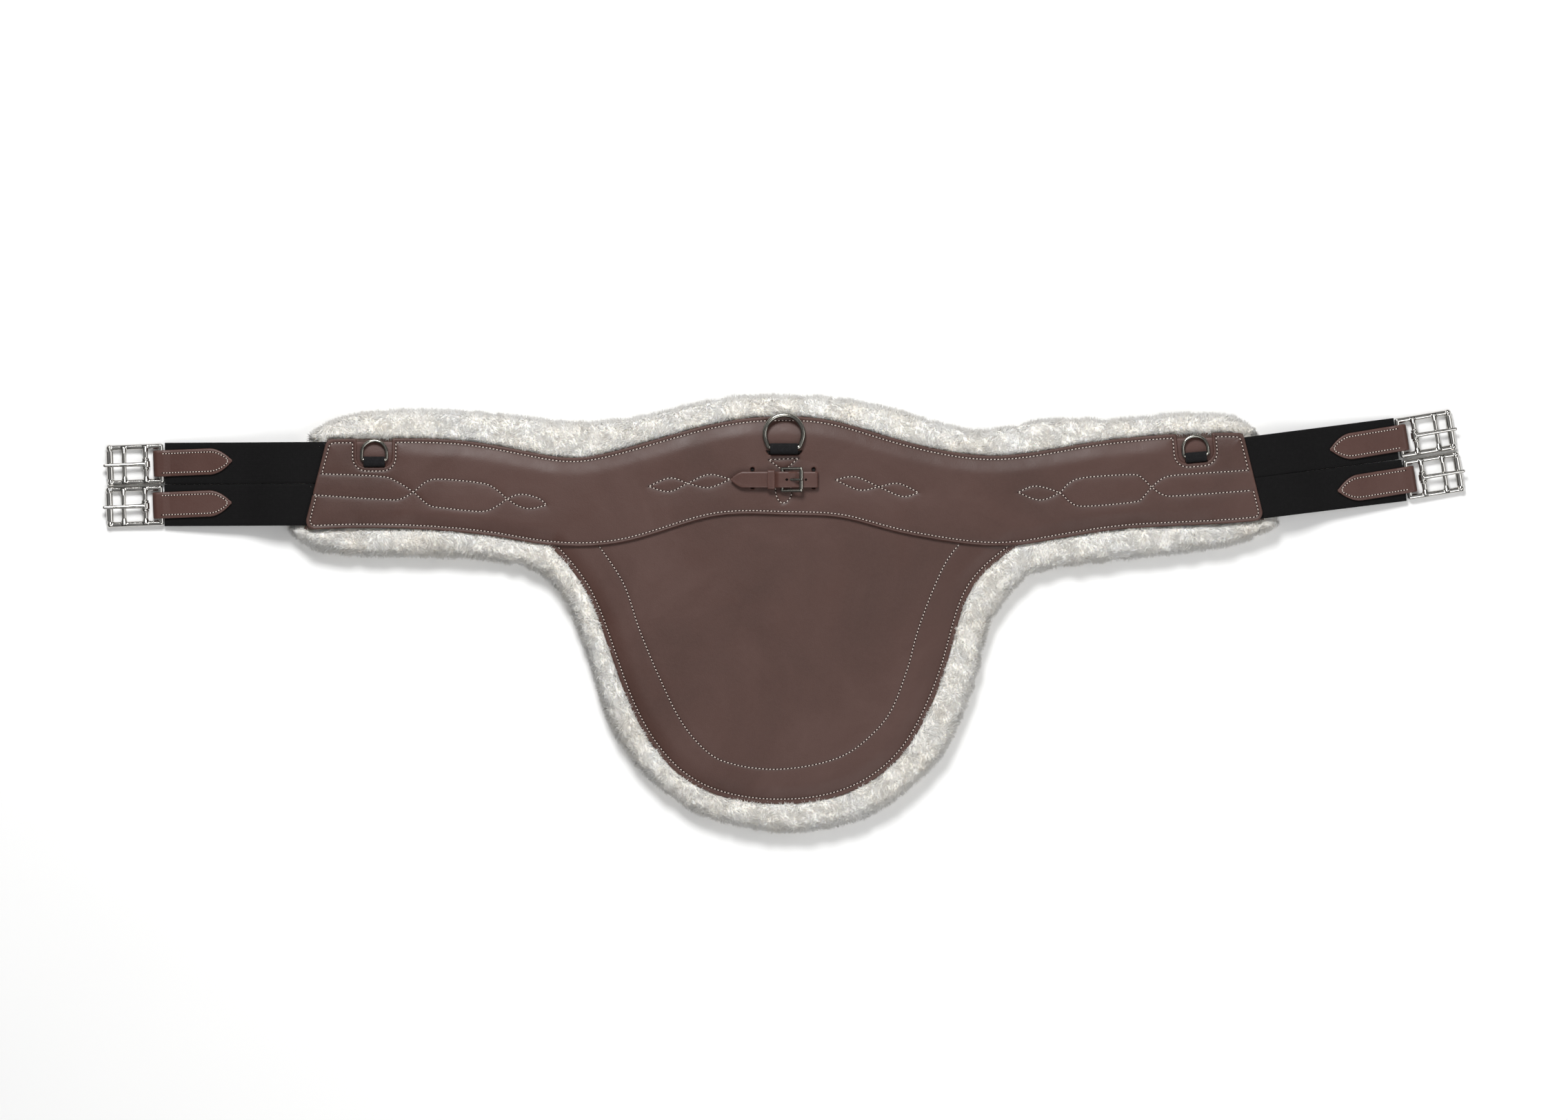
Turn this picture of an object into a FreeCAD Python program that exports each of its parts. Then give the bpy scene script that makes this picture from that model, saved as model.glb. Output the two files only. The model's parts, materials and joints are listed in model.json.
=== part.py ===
"""Belly-guard saddle girth with elastic ends, roller buckles, D-rings and a sheepskin lining.

The girth lies flat, outer leather up. +X runs along its length, +Y from the belly guard towards the front edge,
+Z up. The origin is on the surface the girth lies on, at the middle of its length and of its depth.
All sizes are in millimetres.
"""

import FreeCAD, Part
import math
import os

from FreeCAD import Placement, Rotation, Vector

doc = FreeCAD.newDocument("saddle_girth")

# ---------------------------------------------------------------- driving dimensions
DIMENSIONS = {
    # layers of the girth, from the ground up
    "fleece_height": 18.0,
    "fleece_rim_height": 23.0,
    "hide_thickness": 1.2,
    "tape_thickness": 1.2,
    "lining_thickness": 1.5,
    "foam_thickness": 5.0,
    "face_thickness": 3.0,
    "guard_leather_thickness": 3.0,
    "webbing_core_thickness": 1.5,
    "webbing_core_width": 44.0,
    "end_patch_thickness": 1.3,
    "corner_rounding": 8.0,
    # elastic straps
    "elastic_thickness": 2.2,
    "elastic_width": 38.2,
    "anchor_width": 36.0,
    "anchor_length": 41.0,
    "drop_to_bar": 19.1,
    "chape_slope": 6.0,
    "elastic_bend": 75.0,
    # leather chapes that hold the girth buckles
    "chape_thickness": 2.5,
    "chape_width": 24.6,
    "chape_length": 67.2,
    "chape_point": 21.0,
    "chape_loop_reach": 7.4,
    # girth buckles
    "buckle_half_width": 16.4,
    "side_bar_radius": 2.3,
    "rear_bar_radius": 2.2,
    "tongue_bar_at": 14.6,
    "tongue_bar_radius": 2.1,
    "middle_bar_at": 34.7,
    "middle_bar_radius": 1.9,
    "front_pin_at": 48.0,
    "front_pin_radius": 2.2,
    "corner_boss_radius": 3.0,
    "roller_radius": 3.4,
    "roller_length": 25.6,
    "running_clearance": 0.1,
    "tongue_radius": 1.7,
    "tongue_overhang": 4.4,
    # D-rings
    "big_ring_radius": 17.9,
    "big_ring_wire": 2.25,
    "big_ring_chord": 12.2,
    "big_ring_corner": 14.4,
    "big_ring_bend": 2.4,
    "big_ring_webbing": 26.0,
    "small_ring_radius": 11.6,
    "small_ring_wire": 1.6,
    "small_ring_side": 6.2,
    "small_ring_webbing": 19.6,
    # clip strap on the middle of the girth
    "clip_strap_thickness": 1.8,
    "clip_strap_width": 15.0,
    "keeper_thickness": 1.3,
    "keeper_length": 6.7,
}
sheet = doc.addObject("Spreadsheet::Sheet", "dims")
for row, (alias, value) in enumerate(DIMENSIONS.items(), start=1):
    sheet.set(f"A{row}", alias)
    sheet.set(f"B{row}", str(value))
    sheet.setAlias(f"B{row}", alias)
doc.recompute()
D = {alias: float(sheet.get(alias)) for alias in DIMENSIONS}

# heights of the layers
HIDE_Z = D["fleece_height"]
TAPE_Z = HIDE_Z + D["hide_thickness"]
LINING_Z = TAPE_Z + D["tape_thickness"]
CORE_Z = LINING_Z + D["lining_thickness"]
FACE_Z = CORE_Z + D["foam_thickness"]
FACE_TOP = FACE_Z + D["face_thickness"]
GUARD_Z = FACE_Z - D["guard_leather_thickness"]
ELASTIC_Z = CORE_Z + D["webbing_core_thickness"]
PATCH_Z = FACE_Z - D["end_patch_thickness"]
ELASTIC_MID = ELASTIC_Z + D["elastic_thickness"] / 2

nodes = {}


# ---------------------------------------------------------------- small helpers
def keep(obj, label):
    """Names a finished sub-part after the file it is written to."""
    obj.Label = label
    nodes[label] = obj
    return obj


def scratch_name(stem):
    """A free internal name for a feature that only builds up a sub-part."""
    scratch_name.count += 1
    return f"{stem}_{scratch_name.count}"


scratch_name.count = 0


def flat(points):
    """2-D pairs as vectors in a sketch's plane."""
    return [Vector(p[0], p[1], 0) for p in points]


def spline(points):
    curve = Part.BSplineCurve()
    curve.interpolate(flat(points))
    return curve


def lines(points, closed=True):
    corners = flat(points)
    ends = corners[1:] + corners[:1] if closed else corners[1:]
    return [Part.LineSegment(a, b) for a, b in zip(corners, ends)]


def new_body(label):
    body = doc.addObject("PartDesign::Body", scratch_name("body"))
    return keep(body, label)


def new_sketch(body, role, curves, height=0.0):
    """A sketch on one of the body's own origin planes, lifted by height along the plane's normal."""
    plane = next(o for o in body.Origin.OriginFeatures if o.Role == role)
    sketch = body.newObject("Sketcher::SketchObject", scratch_name("sketch"))
    sketch.AttachmentSupport = [(plane, "")]
    sketch.MapMode = "FlatFace"
    sketch.AttachmentOffset = Placement(Vector(0, 0, height), Rotation())
    for curve in curves:
        sketch.addGeometry(curve, False)
    return sketch


def pad(body, curves, length, height=0.0, role="XY_Plane", both_ways=False):
    """Adds material; length is an expression on the sheet."""
    feature = body.newObject("PartDesign::Pad", scratch_name("pad"))
    feature.Profile = new_sketch(body, role, curves, height)
    feature.setExpression("Length", length)
    if both_ways:
        feature.SideType = "Symmetric"
    doc.recompute()
    return feature


def pocket(body, curves, depth, height):
    """Cuts upwards from height, by depth in millimetres, and checks that it cut something."""
    before = body.Shape.Volume
    feature = body.newObject("PartDesign::Pocket", scratch_name("pocket"))
    feature.Profile = new_sketch(body, "XY_Plane", curves, height)
    feature.Length = depth
    feature.Reversed = True
    doc.recompute()
    assert body.Shape.Volume < before - 0.01, f"{body.Label}: a pocket cut nothing"
    return feature


def round_corners(body, radius):
    """Rounds the upright edges of a flat piece."""
    base = body.Tip
    names = []
    for number, edge in enumerate(base.Shape.Edges, start=1):
        along = edge.Vertexes[-1].Point - edge.Vertexes[0].Point
        if math.hypot(along.x, along.y) < 1e-6 and abs(along.z) > 0.1:
            names.append(f"Edge{number}")
    fillet = body.newObject("PartDesign::Fillet", scratch_name("fillet"))
    fillet.Base = (base, names)
    fillet.setExpression("Radius", radius)
    doc.recompute()
    return fillet


def ribbon(path, thickness, round_start=False):
    """Edges of a strip of even thickness that follows corners (u, v, bend radius) in a plane."""
    points = [Vector(p[0], p[1], 0) for p in path]
    sides = {}
    for side in (1, -1):
        run = []
        for i, point in enumerate(points):
            if i in (0, len(points) - 1):
                way = (points[1] - points[0]) if i == 0 else (points[-1] - points[-2])
                way.normalize()
                run.append([point + Vector(-way.y, way.x, 0) * (side * thickness / 2)])
                continue
            into = (point - points[i - 1]).normalize()
            out = (points[i + 1] - point).normalize()
            turn = math.atan2(into.cross(out).z, into.dot(out))
            radius = path[i][2]
            left = 1 if turn > 0 else -1
            reach = radius * math.tan(abs(turn) / 2)
            first = point - into * reach
            centre = first + Vector(-into.y, into.x, 0) * (left * radius)
            size = radius - left * side * thickness / 2
            arm = (first - centre).normalize() * size
            spots = []
            for share in (0.0, 0.5, 1.0):
                spin = Rotation(Vector(0, 0, 1), math.degrees(turn * share))
                spots.append(centre + spin.multVec(arm))
            run.append(spots)
        sides[side] = run
    edges = []
    for side, order in ((1, 1), (-1, -1)):
        run = sides[side] if order == 1 else [s[::-1] for s in sides[side][::-1]]
        for i, spots in enumerate(run):
            if len(spots) == 3:
                edges.append(Part.Arc(*spots))
            if i + 1 < len(run):
                edges.append(Part.LineSegment(spots[-1], run[i + 1][0]))
    start_a, start_b = sides[1][0][0], sides[-1][0][0]
    end_a, end_b = sides[1][-1][0], sides[-1][-1][0]
    edges.append(Part.LineSegment(end_a, end_b))
    if round_start:
        back = (points[0] - points[1]).normalize() * (thickness / 2)
        edges.append(Part.Arc(start_b, points[0] + back, start_a))
    else:
        edges.append(Part.LineSegment(start_b, start_a))
    return edges


def primitive(kind, place, **sizes):
    """A Part primitive whose sizes are expressions on the sheet or plain numbers."""
    obj = doc.addObject(f"Part::{kind}", scratch_name(kind.lower()))
    for name, value in sizes.items():
        if isinstance(value, str):
            obj.setExpression(name, value)
        else:
            setattr(obj, name, value)
    obj.Placement = place
    return obj


def fuse(label, pieces, place=None):
    obj = doc.addObject("Part::MultiFuse", scratch_name("fuse"))
    obj.Shapes = pieces
    obj.Placement = place or Placement()
    return keep(obj, label)


def at(x, y, z, axis=None, angle=0.0):
    """A placement: a place, and a turn about an axis there."""
    turn = Rotation(Vector(*axis), angle) if axis else Rotation()
    return Placement(Vector(x, y, z), turn)


ALONG_X = ((0, 1, 0), 90)
ALONG_Y = ((1, 0, 0), -90)


# ---------------------------------------------------------------- outlines, as few points as the shape needs
GIRTH_FRONT = [
    (-425.6, 162.5), (-358, 163), (-294, 160.5), (-230, 149), (-196, 145), (-165, 149.5), (-101, 167.5),
    (-37, 181.5), (0, 183.5), (37, 181), (91, 166.5), (156, 150.5), (190, 147), (220, 148.5), (284, 159),
    (348, 166), (427.5, 168),
]
GIRTH_BACK = [
    (447.4, 87), (380, 82), (316, 78.5), (252, 69), (205, 62.5), (143, 68), (98, 77), (53, 88.5), (8, 91),
    (-37, 92), (-60, 90.5), (-104, 79), (-149, 66), (-190, 62), (-230, 65), (-262, 70.5), (-326, 77.5),
    (-447.4, 77.5),
]
GUARD_SIDES = [
    (-229, 76), (-212, 57), (-187, 25), (-170, -13), (-156.5, -52), (-141.5, -90), (-118, -129), (-88, -157),
    (-50, -172.5), (-4, -177.5), (42, -172.5), (80, -157), (112, -129), (135, -90), (150, -52), (161, -13),
    (176, 25), (205, 54), (236, 76),
]
GUARD_TOP = [
    (236, 76), (205, 75), (98, 90), (53, 102), (8, 104.5), (-37, 105.5), (-104, 92), (-190, 75), (-229, 76),
]
FLEECE_FRONT = [
    (-441, 166), (-420, 178), (-388, 185.5), (-326, 188), (-262, 183.5), (-197, 176.5), (-133, 182), (-69, 196.5),
    (-5, 201.5), (59, 197.5), (124, 182), (188, 169), (236, 178), (300, 179), (381, 185.5), (413, 183), (439, 172),
]
FLEECE_BACK = [
    (459, 84), (440, 73), (400, 63), (330, 54), (262, 46), (228, 37), (205, 15), (189, -13), (179, -52),
    (166, -90), (147, -129), (118, -160), (79, -186.5), (40, -198), (0, -202), (-37, -197), (-76, -186.5),
    (-115, -161), (-144, -129), (-165, -90), (-177, -52), (-190, -13), (-207, 20), (-228, 40), (-262, 50),
    (-326, 55), (-400, 56), (-440, 63), (-460, 78),
]


def girth_outline():
    return [
        spline(GIRTH_FRONT),
        *lines([GIRTH_FRONT[-1], GIRTH_BACK[0]], closed=False),
        spline(GIRTH_BACK),
        *lines([GIRTH_BACK[-1], GIRTH_FRONT[0]], closed=False),
    ]


def guard_outline():
    return [spline(GUARD_SIDES), spline(GUARD_TOP)]


def grown(points, amount):
    """Points of an open run moved to its left by amount."""
    moved = []
    for i, point in enumerate(points):
        before, after = points[max(i - 1, 0)], points[min(i + 1, len(points) - 1)]
        along = Vector(after[0] - before[0], after[1] - before[1], 0).normalize()
        moved.append((point[0] - along.y * amount, point[1] + along.x * amount))
    return moved


def disc(x, y, radius):
    return [Part.Circle(Vector(x, y, 0), Vector(0, 0, 1), radius)]


def box_outline(x0, y0, x1, y1):
    return lines([(x0, y0), (x1, y0), (x1, y1), (x0, y1)])


# ---------------------------------------------------------------- where things sit
# Each strap: its bending line's middle (x, y), its heading in degrees, its length to the rear bar.
STRAPS = {
    "left_upper": (-440.0, 140.3, 180.2, 141.3),
    "left_lower": (-450.4, 101.2, 180.2, 131.3),
    "right_upper": (437.6, 145.7, 7.4, 138.4),
    "right_lower": (446.8, 108.0, 7.0, 136.4),
}
BUCKLE_YAW = 2.0
BUCKLE_PITCH = 1.7

# Each small ring: middle of its bar (x, y) and its turn about Z in degrees.
SMALL_RINGS = {"left": (-381.4, 143.0, 0.0), "right": (383.4, 147.3, 5.0)}
BIG_RING_BAR_Y = 154.6
POCKET_HALF_WIDTH = 16.4
POCKET_BELOW_BAR = 6.8

CLIP_Y = 124.5
CLIP_SLOTS = (-29.4, 27.5)
CLIP_HEEL_X = -1.8
CLIP_HEEL_Z = FACE_TOP + 3.6
CLIP_FRONT_X = 16.0
CLIP_FRONT_Z = FACE_TOP + 8.3
KEEPER_X = -12.0


# ---------------------------------------------------------------- sheepskin liner
def sheepskin_liner():
    fleece = new_body("sheepskin_fleece")
    outline = [
        spline(FLEECE_FRONT),
        *lines([FLEECE_FRONT[-1], FLEECE_BACK[0]], closed=False),
        spline(FLEECE_BACK),
        *lines([FLEECE_BACK[-1], FLEECE_FRONT[0]], closed=False),
    ]
    pad(fleece, outline, "dims.fleece_rim_height")
    rim = D["fleece_rim_height"] - D["fleece_height"]
    clearance = 1.2
    past_end = 480.0
    front = [(-past_end, 164), *grown(GIRTH_FRONT, clearance), (past_end, 168)]
    back = [(past_end, 84), *grown(GIRTH_BACK, clearance), (-past_end, 76)]
    well = [
        spline(front),
        *lines([front[-1], back[0]], closed=False),
        spline(back),
        *lines([back[-1], front[0]], closed=False),
    ]
    pocket(fleece, well, rim, D["fleece_height"])
    guard_well = [(p[0], p[1]) for p in grown(GUARD_SIDES, -clearance)]
    pocket(
        fleece,
        [spline(guard_well), *lines([guard_well[-1], (150, 110), (-150, 110), guard_well[0]], closed=False)],
        rim,
        D["fleece_height"],
    )

    hide = new_body("sheepskin_hide")
    pad(hide, girth_outline(), "dims.hide_thickness", HIDE_Z)
    pad(hide, guard_outline(), "dims.hide_thickness", HIDE_Z)

    tape = doc.addObject("Part::Compound", scratch_name("tapes"))
    strips = []
    for x, y, length, width in ((-300, 118, 190, 25), (0, 130, 240, 25), (300, 120, 190, 25), (0, -60, 150, 25)):
        strips.append(
            primitive(
                "Box",
                at(x - length / 2, y - width / 2, TAPE_Z),
                Length=length,
                Width=width,
                Height="dims.tape_thickness",
            )
        )
    tape.Links = strips
    keep(tape, "hook_and_loop_tapes")


# ---------------------------------------------------------------- girth body
def end_outline(side):
    """Outline of the doubled end of the girth, 3 mm inside its edge."""
    if side == "left":
        return lines([(-357, 81), (-357, 160), (-421.5, 159.5), (-441.5, 81)])
    return lines([(357, 163), (357, 84.5), (441.5, 90.5), (422.5, 164.5)])


def ring_spot(side):
    """Turns a small ring's own (u, v) into a place on the girth."""
    x, y, turn = SMALL_RINGS[side]
    spin = Rotation(Vector(0, 0, 1), turn)
    return lambda u, v: Vector(x, y, 0) + spin.multVec(Vector(u, v, 0))


def ring_pocket(side):
    """U-shaped cut-out in the face leather round a small ring, open at the front edge."""
    spot = ring_spot(side)
    half, low, bend, open_end = POCKET_HALF_WIDTH, -POCKET_BELOW_BAR, 9.0, 40.0
    near = bend * (1 - math.sqrt(0.5))
    flat_half = half - bend
    return [
        Part.LineSegment(spot(half, low + bend), spot(half, open_end)),
        Part.LineSegment(spot(half, open_end), spot(-half, open_end)),
        Part.LineSegment(spot(-half, open_end), spot(-half, low + bend)),
        Part.Arc(spot(-half, low + bend), spot(-half + near, low + near), spot(-flat_half, low)),
        Part.LineSegment(spot(-flat_half, low), spot(flat_half, low)),
        Part.Arc(spot(flat_half, low), spot(half - near, low + near), spot(half, low + bend)),
    ]


def girth_body():
    lining = new_body("inner_lining")
    pad(lining, girth_outline(), "dims.lining_thickness", LINING_Z)
    pad(lining, guard_outline(), "dims.lining_thickness", LINING_Z)

    web = new_body("reinforcing_webbing")
    low = 96.0
    pad(
        web,
        box_outline(-356.8, low, 356.8, low + D["webbing_core_width"]),
        "dims.webbing_core_thickness",
        CORE_Z,
    )

    foam = new_body("girth_foam")
    foam_front = [
        (-356, 159), (-294, 156), (-230, 145), (-196, 141), (-165, 145), (-101, 163), (-37, 177), (0, 179),
        (37, 177), (91, 162), (156, 146.5), (190, 143), (220, 144), (284, 155), (356, 162),
    ]
    foam_back = [
        (356, 85), (316, 83), (252, 76), (238, 79), (205, 77.5), (98, 92), (53, 104), (8, 106.5), (-37, 107.5),
        (-104, 94), (-190, 77.5), (-238, 79), (-262, 76), (-326, 82), (-356, 82),
    ]
    pad(
        foam,
        [
            spline(foam_front),
            *lines([foam_front[-1], foam_back[0]], closed=False),
            *lines(foam_back, closed=False),
            *lines([foam_back[-1], foam_front[0]], closed=False),
        ],
        "dims.foam_thickness",
        CORE_Z,
    )
    gap = 0.2
    pocket(foam, box_outline(-400, low - gap, 400, low + D["webbing_core_width"] + gap), 1.5, CORE_Z)
    tail = D["big_ring_webbing"] / 2 + gap
    pocket(foam, box_outline(-tail, 60, tail, 134), 1.6, FACE_Z - 1.6)
    pocket(foam, box_outline(-tail, 133.5, tail, 152), 2.95, FACE_Z - 2.95)
    half = D["clip_strap_width"] / 2 + gap
    run = box_outline(CLIP_SLOTS[0] - 2, CLIP_Y - half, CLIP_SLOTS[1] + 2, CLIP_Y + half)
    pocket(foam, run, 3.5, FACE_Z - 3.5)

    for side in ("left", "right"):
        backing = new_body(f"{side}_end_backing")
        pad(backing, end_outline(side), "dims.webbing_core_thickness", CORE_Z)
        patch = new_body(f"{side}_end_patch")
        pad(patch, end_outline(side), "dims.end_patch_thickness", PATCH_Z)
        spot = ring_spot(side)
        width = D["small_ring_webbing"] / 2 + gap
        corners = [spot(-width, -6.6), spot(width, -6.6), spot(width, -3.6), spot(-width, -3.6)]
        pocket(patch, lines(corners), D["end_patch_thickness"], PATCH_Z)

    face = new_body("girth_face_leather")
    pad(face, girth_outline(), "dims.face_thickness", FACE_Z)
    round_corners(face, "dims.corner_rounding")
    for side in ("left", "right"):
        pocket(face, ring_pocket(side), 3.0, FACE_Z)
    slit = lines([(-14, 147.8), (14, 147.8), (16.8, 151.6), (-16.8, 151.6)])
    pocket(face, slit, 3.0, FACE_Z)
    for x in CLIP_SLOTS:
        pocket(face, box_outline(x - 1.4, CLIP_Y - 8.2, x + 1.4, CLIP_Y + 8.6), 3.0, FACE_Z)
        pocket(face, disc(x, CLIP_Y + 9.6, 1.8), 3.0, FACE_Z)


def belly_guard():
    leather = new_body("belly_guard_leather")
    pad(leather, guard_outline(), "dims.guard_leather_thickness", GUARD_Z)
    foam = new_body("belly_guard_foam")
    inset = grown(GUARD_SIDES[2:-2], 3.0)
    pad(
        foam,
        [spline(inset), *lines([inset[-1], (150, 50), (-160, 50), inset[0]], closed=False)],
        "dims.foam_thickness - dims.guard_leather_thickness",
        CORE_Z,
    )


# ---------------------------------------------------------------- straps and girth buckles
def strap_place(name):
    x, y, heading, _ = STRAPS[name]
    return at(x, y, ELASTIC_MID, (0, 0, 1), heading)


def strap_path(reach):
    """The strap's middle line in its own X and Z: level at the leather, down, then at the chape's slope."""
    slope = math.radians(D["chape_slope"])
    straight = D["chape_length"] + 14.0
    trough = (reach - straight * math.cos(slope), -D["drop_to_bar"] + straight * math.sin(slope))
    crest = (trough[0] * 0.4, 0.0)
    return [(0, 0, 0), (*crest, D["elastic_bend"]), (*trough, D["elastic_bend"])], slope


def elastic_strap(name):
    place = strap_place(name)
    reach = STRAPS[name][3]
    path, slope = strap_path(reach)
    short = 3.6
    end = (reach - short * math.cos(slope), -D["drop_to_bar"] + short * math.sin(slope), 0)
    strap = new_body(f"{name}_elastic")
    profile = ribbon([*path, end], D["elastic_thickness"], round_start=True)
    pad(strap, profile, "dims.elastic_width", role="XZ_Plane", both_ways=True)
    strap.Placement = place

    anchor = new_body(f"{name}_elastic_anchor")
    gap = D["elastic_thickness"] / 2 + 0.3
    stub = ribbon([(-gap - D["anchor_length"], 0, 0), (-gap, 0, 0)], D["elastic_thickness"])
    pad(anchor, stub, "dims.anchor_width", role="XZ_Plane", both_ways=True)
    anchor.Placement = place


def bar_place(name):
    """Frame of a buckle's rear bar: X along the chape, turned with the buckle."""
    reach = STRAPS[name][3]
    return strap_place(name).multiply(at(reach, 0, -D["drop_to_bar"], (0, 0, 1), BUCKLE_YAW))


def chape(name):
    """Leather strip folded round the buckle's rear bar, one leaf above the elastic and one below."""
    thick, long = D["chape_thickness"], D["chape_length"]
    leaf = (D["elastic_thickness"] + thick) / 2 + 0.05
    loop = D["rear_bar_radius"] + 0.25 + thick / 2
    nose = D["chape_loop_reach"] - thick / 2
    side = new_body(f"{name}_chape_side")
    del nodes[f"{name}_chape_side"]
    path = [
        (-long, -leaf, 0), (-9, -leaf, 4), (-3, -loop, 4), (nose, -loop, loop - 0.01),
        (nose, loop, loop - 0.01), (-3, loop, 4), (-9, leaf, 4), (-long, leaf, 0),
    ]
    pad(side, ribbon(path, thick), "dims.chape_width", role="XZ_Plane", both_ways=True)

    top = new_body(f"{name}_chape_top")
    del nodes[f"{name}_chape_top"]
    half = D["chape_width"] / 2
    shoulder = -long + D["chape_point"]
    belly = (-long + D["chape_point"] * 0.42, half * 0.66)
    tip = (-long, 0)
    front = 20.0
    outline = [
        *lines([(shoulder, -half), (front, -half), (front, half), (shoulder, half)], closed=False),
        Part.Arc(*flat([(shoulder, half), belly, tip])),
        Part.Arc(*flat([tip, (belly[0], -belly[1]), (shoulder, -half)])),
    ]
    pad(top, outline, "20", -10.0)

    common = doc.addObject("Part::MultiCommon", scratch_name("common"))
    common.Shapes = [side, top]
    common.Placement = bar_place(name).multiply(at(0, 0, 0, (0, 1, 0), D["chape_slope"]))
    keep(common, f"{name}_chape")


def buckle_place(name):
    return bar_place(name).multiply(at(0, 0, 0, (0, 1, 0), BUCKLE_PITCH))


def cross_bar(x, radius, flare):
    """A bar across the buckle, widened where it meets the side bars."""
    half = D["buckle_half_width"]
    pieces = [primitive("Cylinder", at(x, -half, 0, *ALONG_Y), Radius=radius, Height="2 * dims.buckle_half_width")]
    if flare:
        for side in (1, -1):
            foot = at(x, side * half, 0, (1, 0, 0), 90 * side)
            pieces.append(primitive("Cone", foot, Radius1=flare, Radius2=D["middle_bar_radius"], Height=5.5))
    return pieces


def buckle_frame(name):
    half, front = D["buckle_half_width"], D["front_pin_at"]
    pieces = []
    for side in (1, -1):
        y = side * half
        pieces.append(
            primitive("Cylinder", at(0, y, 0, *ALONG_X), Radius="dims.side_bar_radius", Height="dims.front_pin_at")
        )
        pieces.append(primitive("Sphere", at(0, y, 0), Radius="dims.side_bar_radius"))
        pieces.append(primitive("Sphere", at(front, y - side * 0.2, 0), Radius="dims.corner_boss_radius"))
        collar = 3.4 if side == 1 else -5.2
        pieces.append(
            primitive(
                "Cylinder", at(D["tongue_bar_at"], collar, 0, *ALONG_Y),
                Radius="dims.tongue_bar_radius + 1", Height=1.8,
            )
        )
    pieces += cross_bar(0, "dims.rear_bar_radius", None)
    pieces += cross_bar(D["tongue_bar_at"], "dims.tongue_bar_radius", 3.4)
    pieces += cross_bar(D["middle_bar_at"], "dims.middle_bar_radius", 3.4)
    pieces += cross_bar(front, "dims.front_pin_radius", None)
    fuse(f"{name}_buckle_frame", pieces, buckle_place(name))


def buckle_tongue(name):
    """Ring round the tongue bar with a tapered shank that lies over the roller."""
    bar, front = D["tongue_bar_at"], D["front_pin_at"]
    eye = D["tongue_bar_radius"] + D["running_clearance"]
    shank = D["tongue_radius"]
    rest = D["roller_radius"] + shank + 0.25
    start_z = 2.6
    rise = math.degrees(math.atan2(rest - start_z, front - bar))
    long = math.hypot(front - bar, rest - start_z) + D["tongue_overhang"]
    lean = Rotation(Vector(0, 1, 0), 90 - rise)
    tip = Vector(bar, 0, start_z) + lean.multVec(Vector(0, 0, long))
    solid = [
        primitive("Cylinder", at(bar, -2.9, 0, *ALONG_Y), Radius=eye + 1.7, Height=5.8),
        primitive("Cone", Placement(Vector(bar, 0, start_z), lean), Radius1=2.1, Radius2=shank - 0.3, Height=long),
        primitive("Sphere", Placement(tip, Rotation()), Radius=shank - 0.3),
    ]
    body = doc.addObject("Part::MultiFuse", scratch_name("fuse"))
    body.Shapes = solid
    cut = doc.addObject("Part::Cut", scratch_name("cut"))
    cut.Base = body
    cut.Tool = primitive("Cylinder", at(bar, -8, 0, *ALONG_Y), Radius=eye, Height=16)
    cut.Placement = buckle_place(name)
    keep(cut, f"{name}_buckle_tongue")


def tube(label, place, inner, outer, length):
    """A roller: a tube along Y, centred on its place."""
    cut = doc.addObject("Part::Cut", scratch_name("cut"))
    cut.Base = primitive("Cylinder", at(0, -length / 2, 0, *ALONG_Y), Radius=outer, Height=length)
    cut.Tool = primitive("Cylinder", at(0, -length / 2 - 1, 0, *ALONG_Y), Radius=inner, Height=length + 2)
    cut.Placement = place
    return keep(cut, label)


def buckle_roller(name):
    place = buckle_place(name).multiply(at(D["front_pin_at"], 0, 0))
    inner = D["front_pin_radius"] + D["running_clearance"]
    tube(f"{name}_buckle_roller", place, inner, D["roller_radius"], D["roller_length"])


# ---------------------------------------------------------------- D-rings and the webbing that holds them
def wire_ring(label, path, wire, place):
    """A ring of round wire along a closed flat path, its bar on the X axis."""
    ring = new_body(label)
    spine = new_sketch(ring, "XY_Plane", path)
    section = new_sketch(ring, "YZ_Plane", [Part.Circle(Vector(0, 0, 0), Vector(0, 0, 1), wire)])
    doc.recompute()
    pipe = ring.newObject("PartDesign::AdditivePipe", scratch_name("pipe"))
    pipe.Profile = section
    pipe.Spine = (spine, [f"Edge{i + 1}" for i in range(len(path))])
    pipe.Transition = "Round corner"
    doc.recompute()
    ring.Placement = place
    return ring


def big_ring():
    """A D-ring: a straight bar, tight corners, and short sides that run into the round bow without a kink."""
    radius, chord, bend = D["big_ring_radius"], D["big_ring_chord"], D["big_ring_bend"]
    corner = Vector(D["big_ring_corner"], 0, 0)
    to_centre = Vector(0, chord, 0) - corner
    turn = math.atan2(to_centre.y, to_centre.x) - math.asin(radius / to_centre.Length)
    side = Vector(math.cos(turn), math.sin(turn), 0)
    touch = corner + side * math.sqrt(to_centre.Length**2 - radius**2)
    reach = bend * math.tan(turn / 2)
    start, finish = corner - Vector(reach, 0, 0), corner + side * reach
    inner = corner + (side - Vector(1, 0, 0)).normalize() * (bend / math.cos(turn / 2) - bend)

    def mirrored(p):
        return Vector(-p.x, p.y, 0)

    path = [
        Part.LineSegment(mirrored(start), start),
        Part.Arc(start, inner, finish),
        Part.LineSegment(finish, touch),
        Part.Arc(touch, Vector(0, chord + radius, 0), mirrored(touch)),
        Part.LineSegment(mirrored(touch), mirrored(finish)),
        Part.Arc(mirrored(finish), mirrored(inner), mirrored(start)),
    ]
    place = at(0, BIG_RING_BAR_Y, BIG_RING_Z, (1, 0, 0), -BIG_RING_TILT)
    wire_ring("centre_d_ring", path, D["big_ring_wire"], place)


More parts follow.
